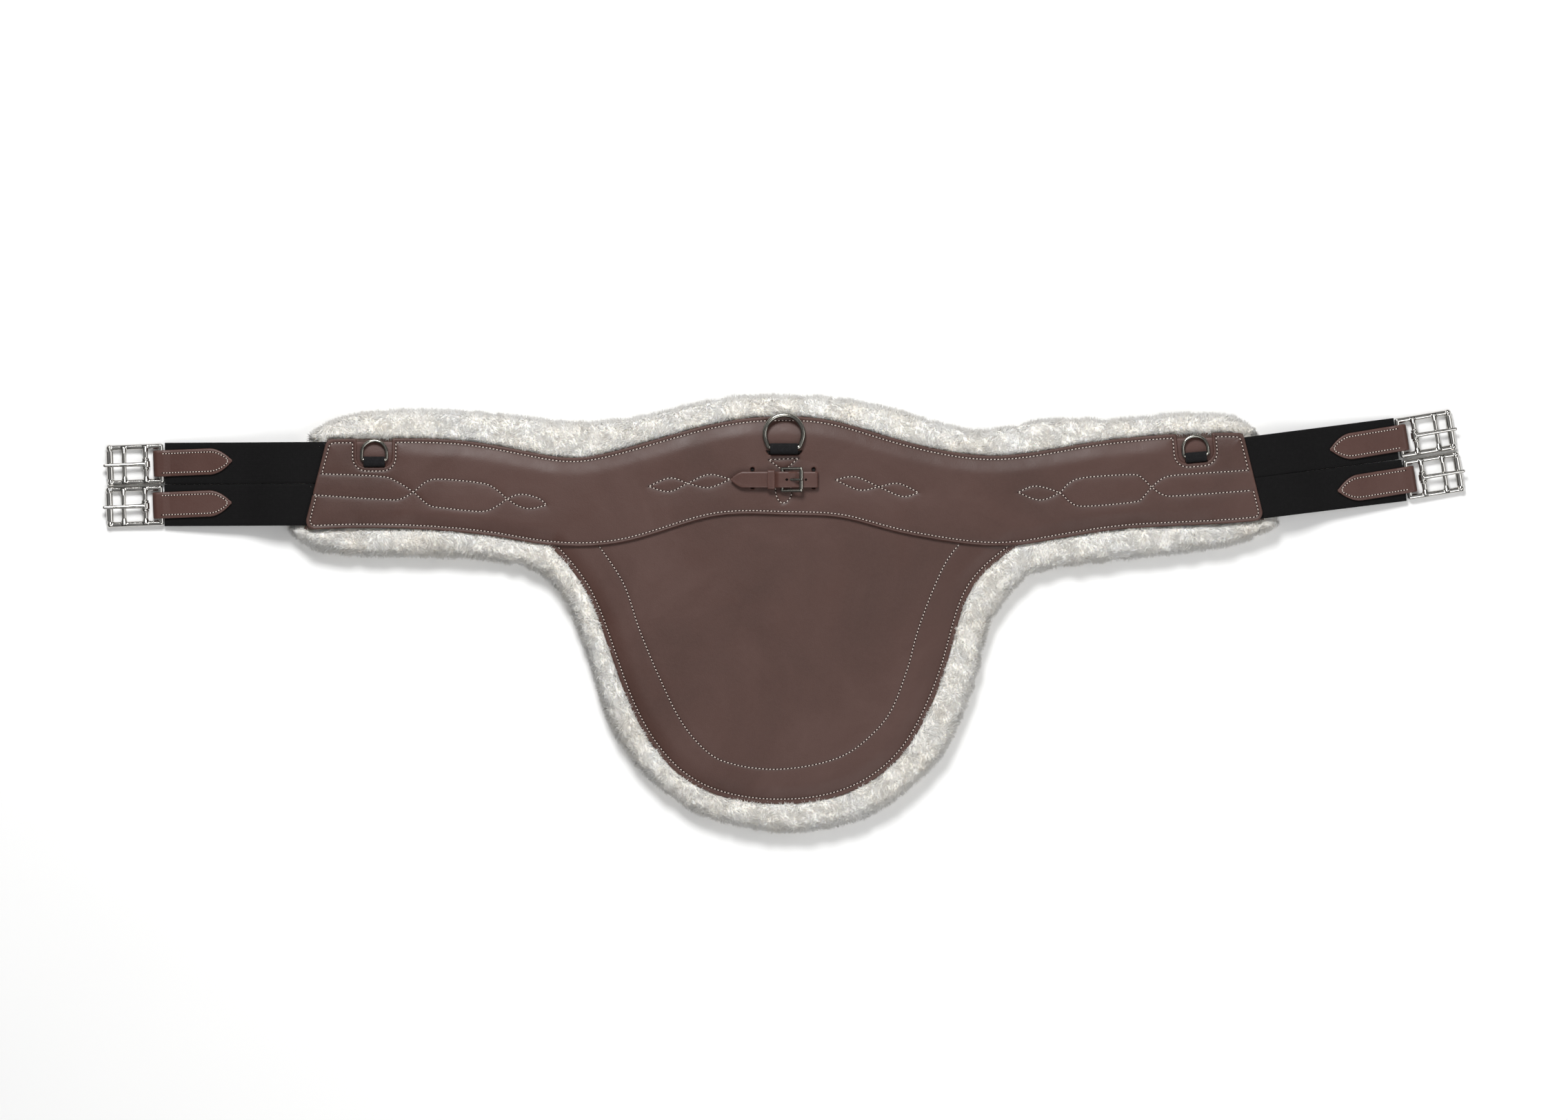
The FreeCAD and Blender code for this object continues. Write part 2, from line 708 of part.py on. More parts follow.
def small_ring(side):
    x, y, turn = SMALL_RINGS[side]
    radius, straight = D["small_ring_radius"], D["small_ring_side"]
    bend = 1.8
    path = [
        Part.LineSegment(Vector(-radius + bend, 0, 0), Vector(radius - bend, 0, 0)),
        Part.Arc(
            Vector(radius - bend, 0, 0),
            Vector(radius - bend * (1 - math.sqrt(0.5)), bend * (1 - math.sqrt(0.5)), 0),
            Vector(radius, bend, 0),
        ),
        Part.LineSegment(Vector(radius, bend, 0), Vector(radius, straight, 0)),
        Part.Arc(Vector(radius, straight, 0), Vector(0, straight + radius, 0), Vector(-radius, straight, 0)),
        Part.LineSegment(Vector(-radius, straight, 0), Vector(-radius, bend, 0)),
        Part.Arc(
            Vector(-radius, bend, 0),
            Vector(-radius + bend * (1 - math.sqrt(0.5)), bend * (1 - math.sqrt(0.5)), 0),
            Vector(-radius + bend, 0, 0),
        ),
    ]
    place = at(x, y, SMALL_RING_Z, (0, 0, 1), turn).multiply(at(0, 0, 0, (1, 0, 0), -SMALL_RING_TILT))
    wire_ring(f"{side}_d_ring", path, D["small_ring_wire"], place)


BIG_WEB = 1.3
SMALL_WEB = 1.2
RING_PLAY = 0.25
BIG_RING_Z = FACE_TOP + 0.2 + BIG_WEB + RING_PLAY + D["big_ring_wire"]
BIG_RING_TILT = 2.2
SMALL_RING_Z = FACE_Z + 0.2 + SMALL_WEB + RING_PLAY + D["small_ring_wire"]
SMALL_RING_TILT = 4.0


def ring_webbing():
    """Black webbing round each ring's bar. The big one passes through the face leather to a tail under it."""
    loop = D["big_ring_wire"] + RING_PLAY + BIG_WEB / 2
    upper_tail = FACE_Z - 0.05 - BIG_WEB / 2
    lower_tail = upper_tail - BIG_WEB - 0.05
    bar_y, bar_z = BIG_RING_BAR_Y, BIG_RING_Z
    rear_y = 148.9
    front_y = rear_y + BIG_WEB + 0.05
    path = [
        (134.0, lower_tail, 0), (front_y, lower_tail, 1.0), (front_y, bar_z - loop, 0.7),
        (bar_y + loop, bar_z - loop, loop - 0.01), (bar_y + loop, bar_z + loop, loop - 0.01),
        (rear_y, bar_z + loop, 2.6), (rear_y, upper_tail, 0.7), (108.5, upper_tail, 0),
    ]
    web = new_body("centre_ring_webbing")
    pad(web, ribbon(path, BIG_WEB), "dims.big_ring_webbing", role="YZ_Plane", both_ways=True)

    loop = D["small_ring_wire"] + RING_PLAY + SMALL_WEB / 2
    under = PATCH_Z - 0.05 - SMALL_WEB / 2 - SMALL_RING_Z
    front = -4.5
    rear = front - SMALL_WEB - 0.05
    path = [
        (front, PATCH_Z - SMALL_RING_Z, 0), (front, -loop, 0.8),
        (loop, -loop, loop - 0.01), (loop, loop, loop - 0.01),
        (rear, loop, 2.4), (rear, under, 0.7), (-24.0, under, 0),
    ]
    for side, (x, y, turn) in SMALL_RINGS.items():
        web = new_body(f"{side}_ring_webbing")
        pad(web, ribbon(path, SMALL_WEB), "dims.small_ring_webbing", role="YZ_Plane", both_ways=True)
        web.Placement = at(x, y, SMALL_RING_Z, (0, 0, 1), turn)


# ---------------------------------------------------------------- clip strap with its small buckle
def clip_strap():
    thick = D["clip_strap_thickness"]
    loop = 1.4 + 0.2 + thick / 2
    heel_x, heel_z = CLIP_HEEL_X, CLIP_HEEL_Z
    under = FACE_Z - 0.05 - BIG_WEB - 0.25 - thick / 2
    left, right = CLIP_SLOTS
    lower, upper = heel_z - loop, FACE_TOP + 3.1
    tail = FACE_TOP + 5.2
    fold_x = right + 3.6
    run = FACE_TOP + 5.1
    crest = heel_z + loop + thick + 0.3
    path = [
        (heel_x - 4.5, lower, 0), (heel_x + loop, lower, loop - 0.01), (heel_x + loop, heel_z + loop, loop - 0.01),
        (heel_x - 2.6, heel_z + loop, 1.5), (heel_x - 6.1, upper, 2), (left, upper, 2.2), (left, under, 1.2),
        (right, under, 1.2), (right, FACE_TOP + 1.2, 1.2), (fold_x, FACE_TOP + 1.2, 1.2), (fold_x, run, 2.2),
        (12, run, 6), (4.5, crest, 6), (-4.9, crest, 4), (-8.9, tail, 3), (-33, tail, 20),
        (-49.5, tail - 1.6, 0),
    ]
    band = new_body("clip_strap_band")
    del nodes["clip_strap_band"]
    pad(band, ribbon(path, thick), "dims.clip_strap_width", role="XZ_Plane", both_ways=True)
    band.Placement = at(0, CLIP_Y, 0)

    half = D["clip_strap_width"] / 2
    shoulder, tip = -38.0, -49.6
    tools = []
    for side in (1, -1):
        wedge = new_body(scratch_name("tip_cut"))
        del nodes[wedge.Label]
        corner = [
            Part.Arc(*flat([(shoulder, half * side), (shoulder - 6.5, 4.9 * side), (tip, 0)])),
            *lines(
                [(tip, 0), (tip - 3, 0), (tip - 3, 12 * side), (shoulder, 12 * side), (shoulder, half * side)], False
            ),
        ]
        pad(wedge, corner, "12", FACE_TOP + 1)
        wedge.Placement = at(0, CLIP_Y, 0)
        tools.append(wedge)
    slot_half = 2.1
    tools.append(
        primitive(
            "Box", at(heel_x - 3.2, CLIP_Y - slot_half, lower - 1.2), Length=7.0, Width=2 * slot_half, Height=7.3
        )
    )
    hole_half = 1.7
    hole_place = at(-2.6, CLIP_Y - hole_half, crest - 2.6)
    tools.append(primitive("Box", hole_place, Length=13.0, Width=2 * hole_half, Height=5))
    tools.append(primitive("Cylinder", at(20.3, CLIP_Y, FACE_TOP + 3), Radius=1.0, Height=5))
    cutter = doc.addObject("Part::MultiFuse", scratch_name("cutter"))
    cutter.Shapes = tools
    cut = doc.addObject("Part::Cut", scratch_name("cut"))
    cut.Base, cut.Tool = band, cutter
    keep(cut, "clip_strap")


def clip_place():
    """Frame of the small buckle: X from its heel bar to its front bar."""
    rise = math.degrees(math.atan2(CLIP_FRONT_Z - CLIP_HEEL_Z, CLIP_FRONT_X - CLIP_HEEL_X))
    return at(CLIP_HEEL_X, CLIP_Y, CLIP_HEEL_Z, (0, 1, 0), -rise)


def clip_buckle():
    long = math.hypot(CLIP_FRONT_Z - CLIP_HEEL_Z, CLIP_FRONT_X - CLIP_HEEL_X)
    half, wire, pin = 10.2, 1.4, 1.2
    place = clip_place()
    pieces = [
        primitive("Cylinder", at(0, -half, 0, *ALONG_Y), Radius=wire, Height=2 * half),
        primitive("Cylinder", at(long, -half, 0, *ALONG_Y), Radius=pin, Height=2 * half),
    ]
    for side in (1, -1):
        pieces.append(primitive("Cylinder", at(0, side * half, 0, *ALONG_X), Radius=wire, Height=long))
        pieces.append(primitive("Sphere", at(0, side * half, 0), Radius=wire))
        pieces.append(primitive("Sphere", at(long, side * half, 0), Radius=wire))
    fuse("clip_buckle_frame", pieces, place)

    roller = 2.0
    tube(
        "clip_buckle_roller",
        place.multiply(at(long, 0, 0)),
        pin + D["running_clearance"],
        roller,
        2 * half - 2 * wire - 0.6,
    )

    eye, shank = wire + D["running_clearance"], 1.05
    lift = math.degrees(math.atan2(roller + shank + 0.25 - 1.2, long))
    lean = Rotation(Vector(0, 1, 0), 90 - lift)
    body = doc.addObject("Part::MultiFuse", scratch_name("fuse"))
    body.Shapes = [
        primitive("Cylinder", at(0, -1.6, 0, *ALONG_Y), Radius=eye + 0.7, Height=3.2),
        primitive("Cone", Placement(Vector(0, 0, 1.2), lean), Radius1=1.2, Radius2=shank - 0.1, Height=long + 1.6),
        primitive(
            "Sphere",
            Placement(Vector(0, 0, 1.2) + lean.multVec(Vector(0, 0, long + 1.6)), Rotation()),
            Radius=shank - 0.1,
        ),
    ]
    cut = doc.addObject("Part::Cut", scratch_name("cut"))
    cut.Base = body
    cut.Tool = primitive("Cylinder", at(0, -4, 0, *ALONG_Y), Radius=eye, Height=8)
    cut.Placement = place
    keep(cut, "clip_buckle_tongue")


def clip_keeper():
    """Loose leather loop round the two layers of the clip strap."""
    wall, long = D["keeper_thickness"], D["keeper_length"]
    inner_half = D["clip_strap_width"] / 2 + 0.5
    low, high = FACE_TOP + 1.9, FACE_TOP + 6.6
    outer = primitive(
        "Box",
        at(KEEPER_X - long / 2, CLIP_Y - inner_half - wall, low - wall),
        Length=long,
        Width=2 * (inner_half + wall),
        Height=high - low + 2 * wall,
    )
    inner = primitive(
        "Box",
        at(KEEPER_X - long / 2 - 1, CLIP_Y - inner_half, low),
        Length=long + 2,
        Width=2 * inner_half,
        Height=high - low,
    )
    cut = doc.addObject("Part::Cut", scratch_name("cut"))
    cut.Base, cut.Tool = outer, inner
    keep(cut, "clip_keeper")


# ---------------------------------------------------------------- build and write
sheepskin_liner()
girth_body()
belly_guard()
for strap_name in STRAPS:
    elastic_strap(strap_name)
    chape(strap_name)
    buckle_frame(strap_name)
    buckle_tongue(strap_name)
    buckle_roller(strap_name)
big_ring()
for ring_side in SMALL_RINGS:
    small_ring(ring_side)
ring_webbing()
clip_strap()
clip_buckle()
clip_keeper()
doc.recompute()

for obj in doc.Objects:
    assert "Invalid" not in obj.State and "Error" not in obj.State, f"{obj.Label} ({obj.Name}) failed"
os.makedirs("parts", exist_ok=True)
for label, obj in nodes.items():
    shape = obj.Shape
    assert not shape.isNull() and shape.isValid() and shape.Volume > 0, f"{label} has no valid shape"
    shape.exportStep(f"parts/{label}.step")
print(len(nodes), "nodes written")
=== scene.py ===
"""Looks of a belly-guard saddle girth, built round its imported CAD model, in metres and in its own frame."""

import json
import math
import random

import bmesh
import bpy
import numpy as np
from mathutils import Matrix, Vector, noise
from mathutils.bvhtree import BVHTree
from mathutils.geometry import delaunay_2d_cdt
from mathutils.kdtree import KDTree


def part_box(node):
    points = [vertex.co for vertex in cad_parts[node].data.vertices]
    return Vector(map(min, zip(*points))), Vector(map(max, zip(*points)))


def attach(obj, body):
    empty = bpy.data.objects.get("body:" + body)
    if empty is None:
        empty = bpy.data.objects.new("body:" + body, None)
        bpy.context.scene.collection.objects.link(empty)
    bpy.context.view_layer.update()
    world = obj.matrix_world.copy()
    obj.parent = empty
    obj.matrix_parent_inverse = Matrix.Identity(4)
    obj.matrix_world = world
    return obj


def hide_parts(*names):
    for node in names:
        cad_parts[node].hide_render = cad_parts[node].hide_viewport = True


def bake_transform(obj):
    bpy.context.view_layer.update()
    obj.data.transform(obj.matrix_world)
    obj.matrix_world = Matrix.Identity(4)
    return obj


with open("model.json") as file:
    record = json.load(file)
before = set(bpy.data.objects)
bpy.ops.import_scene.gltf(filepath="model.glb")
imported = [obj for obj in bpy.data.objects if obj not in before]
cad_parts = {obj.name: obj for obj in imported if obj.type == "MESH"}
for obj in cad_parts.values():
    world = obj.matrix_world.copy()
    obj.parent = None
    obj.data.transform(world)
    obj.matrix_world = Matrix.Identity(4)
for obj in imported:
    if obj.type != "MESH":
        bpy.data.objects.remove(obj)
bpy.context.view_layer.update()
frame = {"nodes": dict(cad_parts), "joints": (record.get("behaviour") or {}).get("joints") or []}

NODES = frame["nodes"]
JOINTS = {joint["name"]: joint for joint in frame["joints"]}
ENDS = ("left_upper", "left_lower", "right_upper", "right_lower")
MM = 0.001
UP = Vector((0, 0, 1))



def levels(node):
    """Lowest and highest Z of a CAD node."""
    return [corner.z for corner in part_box(node)]


FACE_LOW, FACE_TOP = levels("girth_face_leather")
GUARD_TOP = levels("belly_guard_leather")[1]
HIDE_LOW = levels("sheepskin_hide")[0]


# ---- materials
class Shader:
    """A node material with a principled shader and a few shortcuts."""

    def __init__(self, name, roughness=0.5, metallic=0.0, **sockets):
        self.material = bpy.data.materials.new(name)
        self.material.use_nodes = True
        self.nodes = self.material.node_tree.nodes
        self.links = self.material.node_tree.links
        self.shader = self.nodes["Principled BSDF"]
        self.shader.inputs["Roughness"].default_value = roughness
        self.shader.inputs["Metallic"].default_value = metallic
        for socket, value in sockets.items():
            self.shader.inputs[socket.replace("_", " ")].default_value = value
        self.coordinates = self.nodes.new("ShaderNodeTexCoord").outputs["Object"]
        self.normal = None

    def plug(self, socket, value):
        if isinstance(value, bpy.types.NodeSocket):
            self.links.new(value, socket)
        else:
            socket.default_value = value

    def node(self, kind, **inputs):
        made = self.nodes.new(kind)
        for name, value in inputs.items():
            self.plug(made.inputs[name], value)
        return made

    def noise(self, scale, detail=3.0, roughness=0.5, source=None, distortion=0.0):
        made = self.node(
            "ShaderNodeTexNoise", Vector=source or self.coordinates, Scale=scale, Detail=detail,
            Roughness=roughness, Distortion=distortion,
        )
        return made.outputs["Fac"]

    def ramp(self, factor, *stops):
        made = self.node("ShaderNodeValToRGB", Fac=factor)
        elements = made.color_ramp.elements
        while len(elements) < len(stops):
            elements.new(0.5)
        for element, (place, colour) in zip(elements, stops):
            element.position = place
            element.color = (*colour, 1) if isinstance(colour, tuple) else (colour, colour, colour, 1)
        return made.outputs["Color"]

    def mix(self, factor, a, b):
        made = self.nodes.new("ShaderNodeMix")
        made.data_type = "RGBA"
        for number, value in ((0, factor), (6, a), (7, b)):
            self.plug(made.inputs[number], (*value, 1) if isinstance(value, tuple) else value)
        return made.outputs[2]

    def math(self, operation, a, b=0.0):
        made = self.nodes.new("ShaderNodeMath")
        made.operation = operation
        for socket, value in zip(made.inputs, (a, b)):
            self.plug(socket, value)
        return made.outputs[0]

    def attribute(self, name):
        made = self.nodes.new("ShaderNodeAttribute")
        made.attribute_name = name
        return made.outputs["Fac"]

    def colour(self, value):
        self.plug(self.shader.inputs["Base Color"], value)

    def roughness(self, value):
        self.plug(self.shader.inputs["Roughness"], value)

    def bump(self, height, strength, distance):
        made = self.node("ShaderNodeBump", Height=height, Strength=strength, Distance=distance)
        if self.normal is not None:
            self.links.new(self.normal, made.inputs["Normal"])
        self.normal = made.outputs["Normal"]
        self.links.new(self.normal, self.shader.inputs["Normal"])


def leather(name, deep, middle, pale, roughness=(0.42, 0.56), grain=1.0):
    """Smooth dyed leather: cloudy colour, fine grain, pores, a painted highlight along the edge and painted shade
    in the stitch grooves.
    """
    made = Shader(name, Specular_IOR_Level=0.34)
    cloud = made.noise(7.0, 5.0, 0.6, distortion=0.6)
    colour = made.ramp(cloud, (0.32, deep), (0.52, middle), (0.72, pale))
    fleck = made.noise(420.0, 3.0, 0.6)
    colour = made.mix(made.ramp(fleck, (0.35, 0.0), (0.75, 0.22)), colour, pale)
    # painted shade: the colour darkens along the sunken stitch grooves
    groove = made.attribute("groove")
    colour = made.mix(made.math("MULTIPLY", groove, 0.55), colour, tuple(c * 0.45 for c in deep))
    # painted highlight: the colour turns paler near the edge, in patches, where the rolled edge catches the light
    edge = made.attribute("edge")
    edge_patches = made.noise(160.0, 4.0, 0.65)
    edge_highlight = made.math("MULTIPLY", edge, made.ramp(edge_patches, (0.35, 0.15), (0.7, 0.8)))
    colour = made.mix(edge_highlight, colour, tuple(min(1.0, c * 1.55) for c in pale))
    made.colour(colour)
    sheen = made.noise(26.0, 4.0, 0.6)
    made.roughness(made.ramp(sheen, (0.3, roughness[0]), (0.7, roughness[1])))
    pores = made.node("ShaderNodeTexVoronoi", Vector=made.coordinates, Scale=760).outputs["Distance"]
    made.bump(pores, 0.16 * grain, 0.0003)
    made.bump(made.noise(1900.0, 2.0, 0.6), 0.12 * grain, 0.0002)
    made.bump(made.noise(55.0, 4.0, 0.55, distortion=0.8), 0.18, 0.0012)
    return made.material


def wool(name):
    made = Shader(
        name, roughness=0.95, Subsurface_Weight=0.4, Subsurface_Scale=0.006, Sheen_Weight=0.35, Sheen_Roughness=0.5,
        Specular_IOR_Level=0.15,
    )
    made.shader.inputs["Subsurface Radius"].default_value = (1.0, 0.85, 0.65)
    cloud = made.noise(28.0, 5.0, 0.62)
    colour = made.ramp(cloud, (0.3, (0.88, 0.83, 0.74)), (0.5, (0.93, 0.90, 0.83)), (0.7, (0.96, 0.945, 0.90)))
    # painted shade: each wool lock turns darker towards its root, where shade falls between the locks
    root = made.attribute("root")
    colour = made.mix(made.math("MULTIPLY", root, 0.18), colour, (0.84, 0.77, 0.66))
    fibre = made.noise(900.0, 3.0, 0.7, distortion=1.2)
    colour = made.mix(made.ramp(fibre, (0.3, 0.08), (0.7, 0.0)), colour, (0.70, 0.62, 0.51))
    made.colour(colour)
    made.bump(made.noise(520.0, 4.0, 0.65, distortion=1.8), 0.3, 0.0007)
    made.bump(made.noise(140.0, 3.0, 0.6, distortion=1.0), 0.3, 0.0015)
    return made.material


def woven(name, base, thread, rib, pick, sheen):
    """Narrow woven goods: crosswise ribs every rib metres and lengthwise ends every pick metres, in strip UV."""
    made = Shader(name, roughness=0.8, Sheen_Weight=sheen, Specular_IOR_Level=0.16)
    split = made.node("ShaderNodeSeparateXYZ", Vector=made.node("ShaderNodeUVMap").outputs["UV"])
    lengthwise = made.math("SINE", made.math("MULTIPLY", split.outputs["X"], 2 * math.pi / rib))
    across = made.math("SINE", made.math("MULTIPLY", split.outputs["Y"], 2 * math.pi / pick))
    weave = made.math("MULTIPLY", lengthwise, across)
    lint = made.noise(340.0, 3.0, 0.65)
    colour = made.mix(made.ramp(lint, (0.45, 0.0), (0.8, 0.5)), base, thread)
    colour = made.mix(made.ramp(made.math("MULTIPLY", across, 0.5), (0.2, 0.0), (0.5, 0.35)), colour, thread)
    made.colour(colour)
    made.bump(weave, 0.35, 0.00025)
    made.bump(across, 0.3, 0.00018)
    made.bump(lint, 0.2, 0.0003)
    return made.material


def metal(name, colour, dull, roughness):
    made = Shader(name, metallic=1.0)
    haze = made.noise(90.0, 4.0, 0.6)
    made.colour(made.ramp(haze, (0.35, colour), (0.75, dull)))
    stretched = made.node("ShaderNodeMapping", Vector=made.coordinates, Scale=(900, 260, 700)).outputs["Vector"]
    scuff = made.noise(1.0, 4.0, 0.65, source=stretched)
    made.roughness(made.ramp(scuff, (0.3, roughness[0]), (0.72, roughness[1])))
    made.bump(made.noise(160.0, 2.0, 0.5), 0.03, 0.0004)
    return made.material


def plain_fibre(name, base, thread, scale, roughness=0.9, sheen=0.15):
    made = Shader(name, roughness=roughness, Sheen_Weight=sheen, Specular_IOR_Level=sheen * 2)
    fibre = made.noise(scale, 4.0, 0.65, distortion=0.6)
    made.colour(made.ramp(fibre, (0.35, base), (0.7, thread)))
    made.bump(fibre, 0.4, 0.0004)
    return made.material


def floor_paint(name):
    made = Shader(name, roughness=0.9, Specular_IOR_Level=0.1)
    made.colour(made.ramp(made.noise(2.0, 2.0), (0.3, (0.93, 0.93, 0.925)), (0.7, (0.95, 0.95, 0.945))))
    return made.material


BROWN = leather("brown_leather", (0.053, 0.024, 0.018), (0.067, 0.031, 0.024), (0.084, 0.043, 0.035))
BROWN_STRAP = leather(
    "brown_strap_leather", (0.058, 0.024, 0.018), (0.073, 0.033, 0.026), (0.092, 0.047, 0.039), (0.36, 0.5), 0.8
)
LINING = leather("lining_leather", (0.060, 0.034, 0.026), (0.078, 0.046, 0.036), (0.10, 0.062, 0.05), (0.6, 0.75))
HIDE = plain_fibre("sheep_hide", (0.60, 0.52, 0.40), (0.74, 0.67, 0.55), 240.0)
WOOL = wool("sheep_wool")
ELASTIC = woven("black_elastic", (0.0026, 0.0024, 0.0026), (0.0068, 0.0064, 0.0067), 1.6 * MM, 0.9 * MM, 0.02)
WEBBING = woven("black_webbing", (0.006, 0.006, 0.0066), (0.018, 0.018, 0.020), 2.4 * MM, 1.3 * MM, 0.04)
CORE_WEB = plain_fibre("core_webbing", (0.20, 0.17, 0.13), (0.30, 0.26, 0.21), 500)
TAPE = plain_fibre("hook_tape", (0.012,) * 3, (0.04,) * 3, 900)
# painted shade: the foam is near black, so the slots and slits that show it read dark like shade
FOAM_SHADE = plain_fibre("foam_padding", (0.020, 0.018, 0.017), (0.036, 0.032, 0.030), 700)
THREAD = plain_fibre("cream_thread", (0.62, 0.53, 0.47), (0.80, 0.73, 0.66), 2600, 0.7)
# painted shade: near-black discs stand in for the shade inside needle holes and strap holes
HOLE_SHADE = plain_fibre("needle_hole_shades", (0.003, 0.002, 0.002), (0.008, 0.005, 0.004), 900, sheen=0.02)
NICKEL = metal("bright_nickel", (0.60, 0.585, 0.56), (0.50, 0.485, 0.46), (0.08, 0.17))
ANTIQUE = metal("antique_nickel", (0.30, 0.29, 0.26), (0.20, 0.195, 0.17), (0.12, 0.24))
FLOOR = floor_paint("pale_floor")


# ---- flat outlines from the CAD pieces
def flat_loops(node, top=True):
    """Closed boundary loops of a flat CAD piece's top or bottom faces, the longest first."""
    mesh = NODES[node].data
    level = (max if top else min)(v.co.z for v in mesh.vertices)
    key = {v.index: (round(v.co.x, 6), round(v.co.y, 6)) for v in mesh.vertices}
    onward = {}
    for face in mesh.polygons:
        if any(abs(mesh.vertices[i].co.z - level) > 2e-6 for i in face.vertices):
            continue
        corners = [key[i] for i in face.vertices][::1 if top else -1]
        for a, b in zip(corners, corners[1:] + corners[:1]):
            if a in onward.get(b, ()):
                onward[b].remove(a)
            else:
                onward.setdefault(a, []).append(b)
    loops = []
    while any(onward.values()):
        start = next(a for a, bs in onward.items() if bs)
        loop, here = [start], onward[start].pop()
        while here != start:
            loop.append(here)
            here = onward[here].pop()
        loops.append(np.array(loop))
    return sorted(loops, key=lambda one: -np.ptp(one[:, 0]) * np.ptp(one[:, 1]))


def unit(rows):
    return rows / np.linalg.norm(rows, axis=1)[:, None]


def left_of(along):
    return np.column_stack([-along[:, 1], along[:, 0]])


def travel(run):
    """Distance travelled at each point of a run."""
    return np.concatenate([[0], np.cumsum(np.linalg.norm(np.diff(run, axis=0), axis=1))])


def hill(distance, centre, width):
    """A smooth rise to 1 at a centre distance; both figures are in millimetres."""
    return np.exp(-(((distance - centre * MM) / (width * MM)) ** 2))


def resample(points, step, closed=True):
    """Even points along a run, or round a loop."""
    run = np.vstack([points, points[:1]]) if closed else np.asarray(points, float)
    gaps = np.linalg.norm(np.diff(run, axis=0), axis=1)
    run = run[np.concatenate([[True], gaps > 1e-9])]
    travelled = travel(run)
    count = max(4, int(round(travelled[-1] / step)))
    at = np.linspace(0, travelled[-1], count, endpoint=not closed)
    return np.column_stack([np.interp(at, travelled, run[:, k]) for k in range(run.shape[1])])


def smooth_run(points):
    """An even run along a smooth curve through a few given points, in millimetres."""
    points = np.array(points) * MM
    last = len(points) - 1
    out = []
    for i in range(last):
        p0, p1, p2, p3 = (points[min(max(k, 0), last)] for k in range(i - 1, i + 3))
        for t in np.linspace(0, 1, 24, endpoint=False):
            out.append(0.5 * (2 * p1 + (p2 - p0) * t + (2 * p0 - 5 * p1 + 4 * p2 - p3) * t**2
                              + (3 * p1 - p0 - 3 * p2 + p3) * t**3))
    return resample(np.array([*out, points[-1]]), 0.8 * MM, closed=False)


def inward(loop):
    """Unit directions to the left of a closed loop, which is the material's side."""
    return left_of(unit(np.roll(loop, -1, axis=0) - np.roll(loop, 1, axis=0)))


TREES = {}


def nearest(points, samples):
    """Distance and index of the nearest sample for each point."""
    key = (len(samples), float(samples[0][0]), float(samples[-1][1]), float(samples.sum()))
    if key not in TREES:
        tree = KDTree(len(samples))
        for i, (x, y) in enumerate(samples):
            tree.insert((x, y, 0), i)
        tree.balance()
        TREES[key] = tree
    found = [TREES[key].find((x, y, 0)) for x, y in points]
    return np.array([hit[2] for hit in found]), np.array([hit[1] for hit in found], int)


def inside(points, loop):
    """Whether each point lies inside a closed loop."""
    x, y = points[:, 0][:, None], points[:, 1][:, None]
    ax, ay = loop[:, 0][None, :], loop[:, 1][None, :]
    bx, by = np.roll(loop[:, 0], -1)[None, :], np.roll(loop[:, 1], -1)[None, :]
    crosses = (ay > y) != (by > y)
    with np.errstate(divide="ignore", invalid="ignore"):
        at = ax + (y - ay) * (bx - ax) / (by - ay)
    return (crosses & (x < at)).sum(axis=1) % 2 == 1


def smooth_step(t):
    t = np.clip(t, 0, 1)
    return t * t * (3 - 2 * t)


def add_object(name, data):
    made = bpy.data.objects.new(name, data)
    bpy.context.scene.collection.objects.link(made)
    return made


def mesh_object(name, vertices, faces, material, smooth=True):
    mesh = bpy.data.meshes.new(name)
    mesh.from_pydata([tuple(v) for v in vertices], [], [tuple(int(i) for i in f) for f in faces])
    mesh.update()
    if smooth:
        mesh.shade_smooth()
    mesh.materials.append(material)
    return add_object(name, mesh)


def add_attribute(piece, name, values):
    made = piece.data.attributes.new(name, "FLOAT", "POINT")
    made.data.foreach_set("value", np.asarray(values, np.float32))


def pull(items, field, width=3, kind=float):
    """One field of a mesh's items, as an array with width columns."""
    values = np.empty(len(items) * width, kind)
    items.foreach_get(field, values)
    return values.reshape(-1, width)


def dress(piece, body="girth", node=None):
    if node:
        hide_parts(node)
    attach(piece, body)


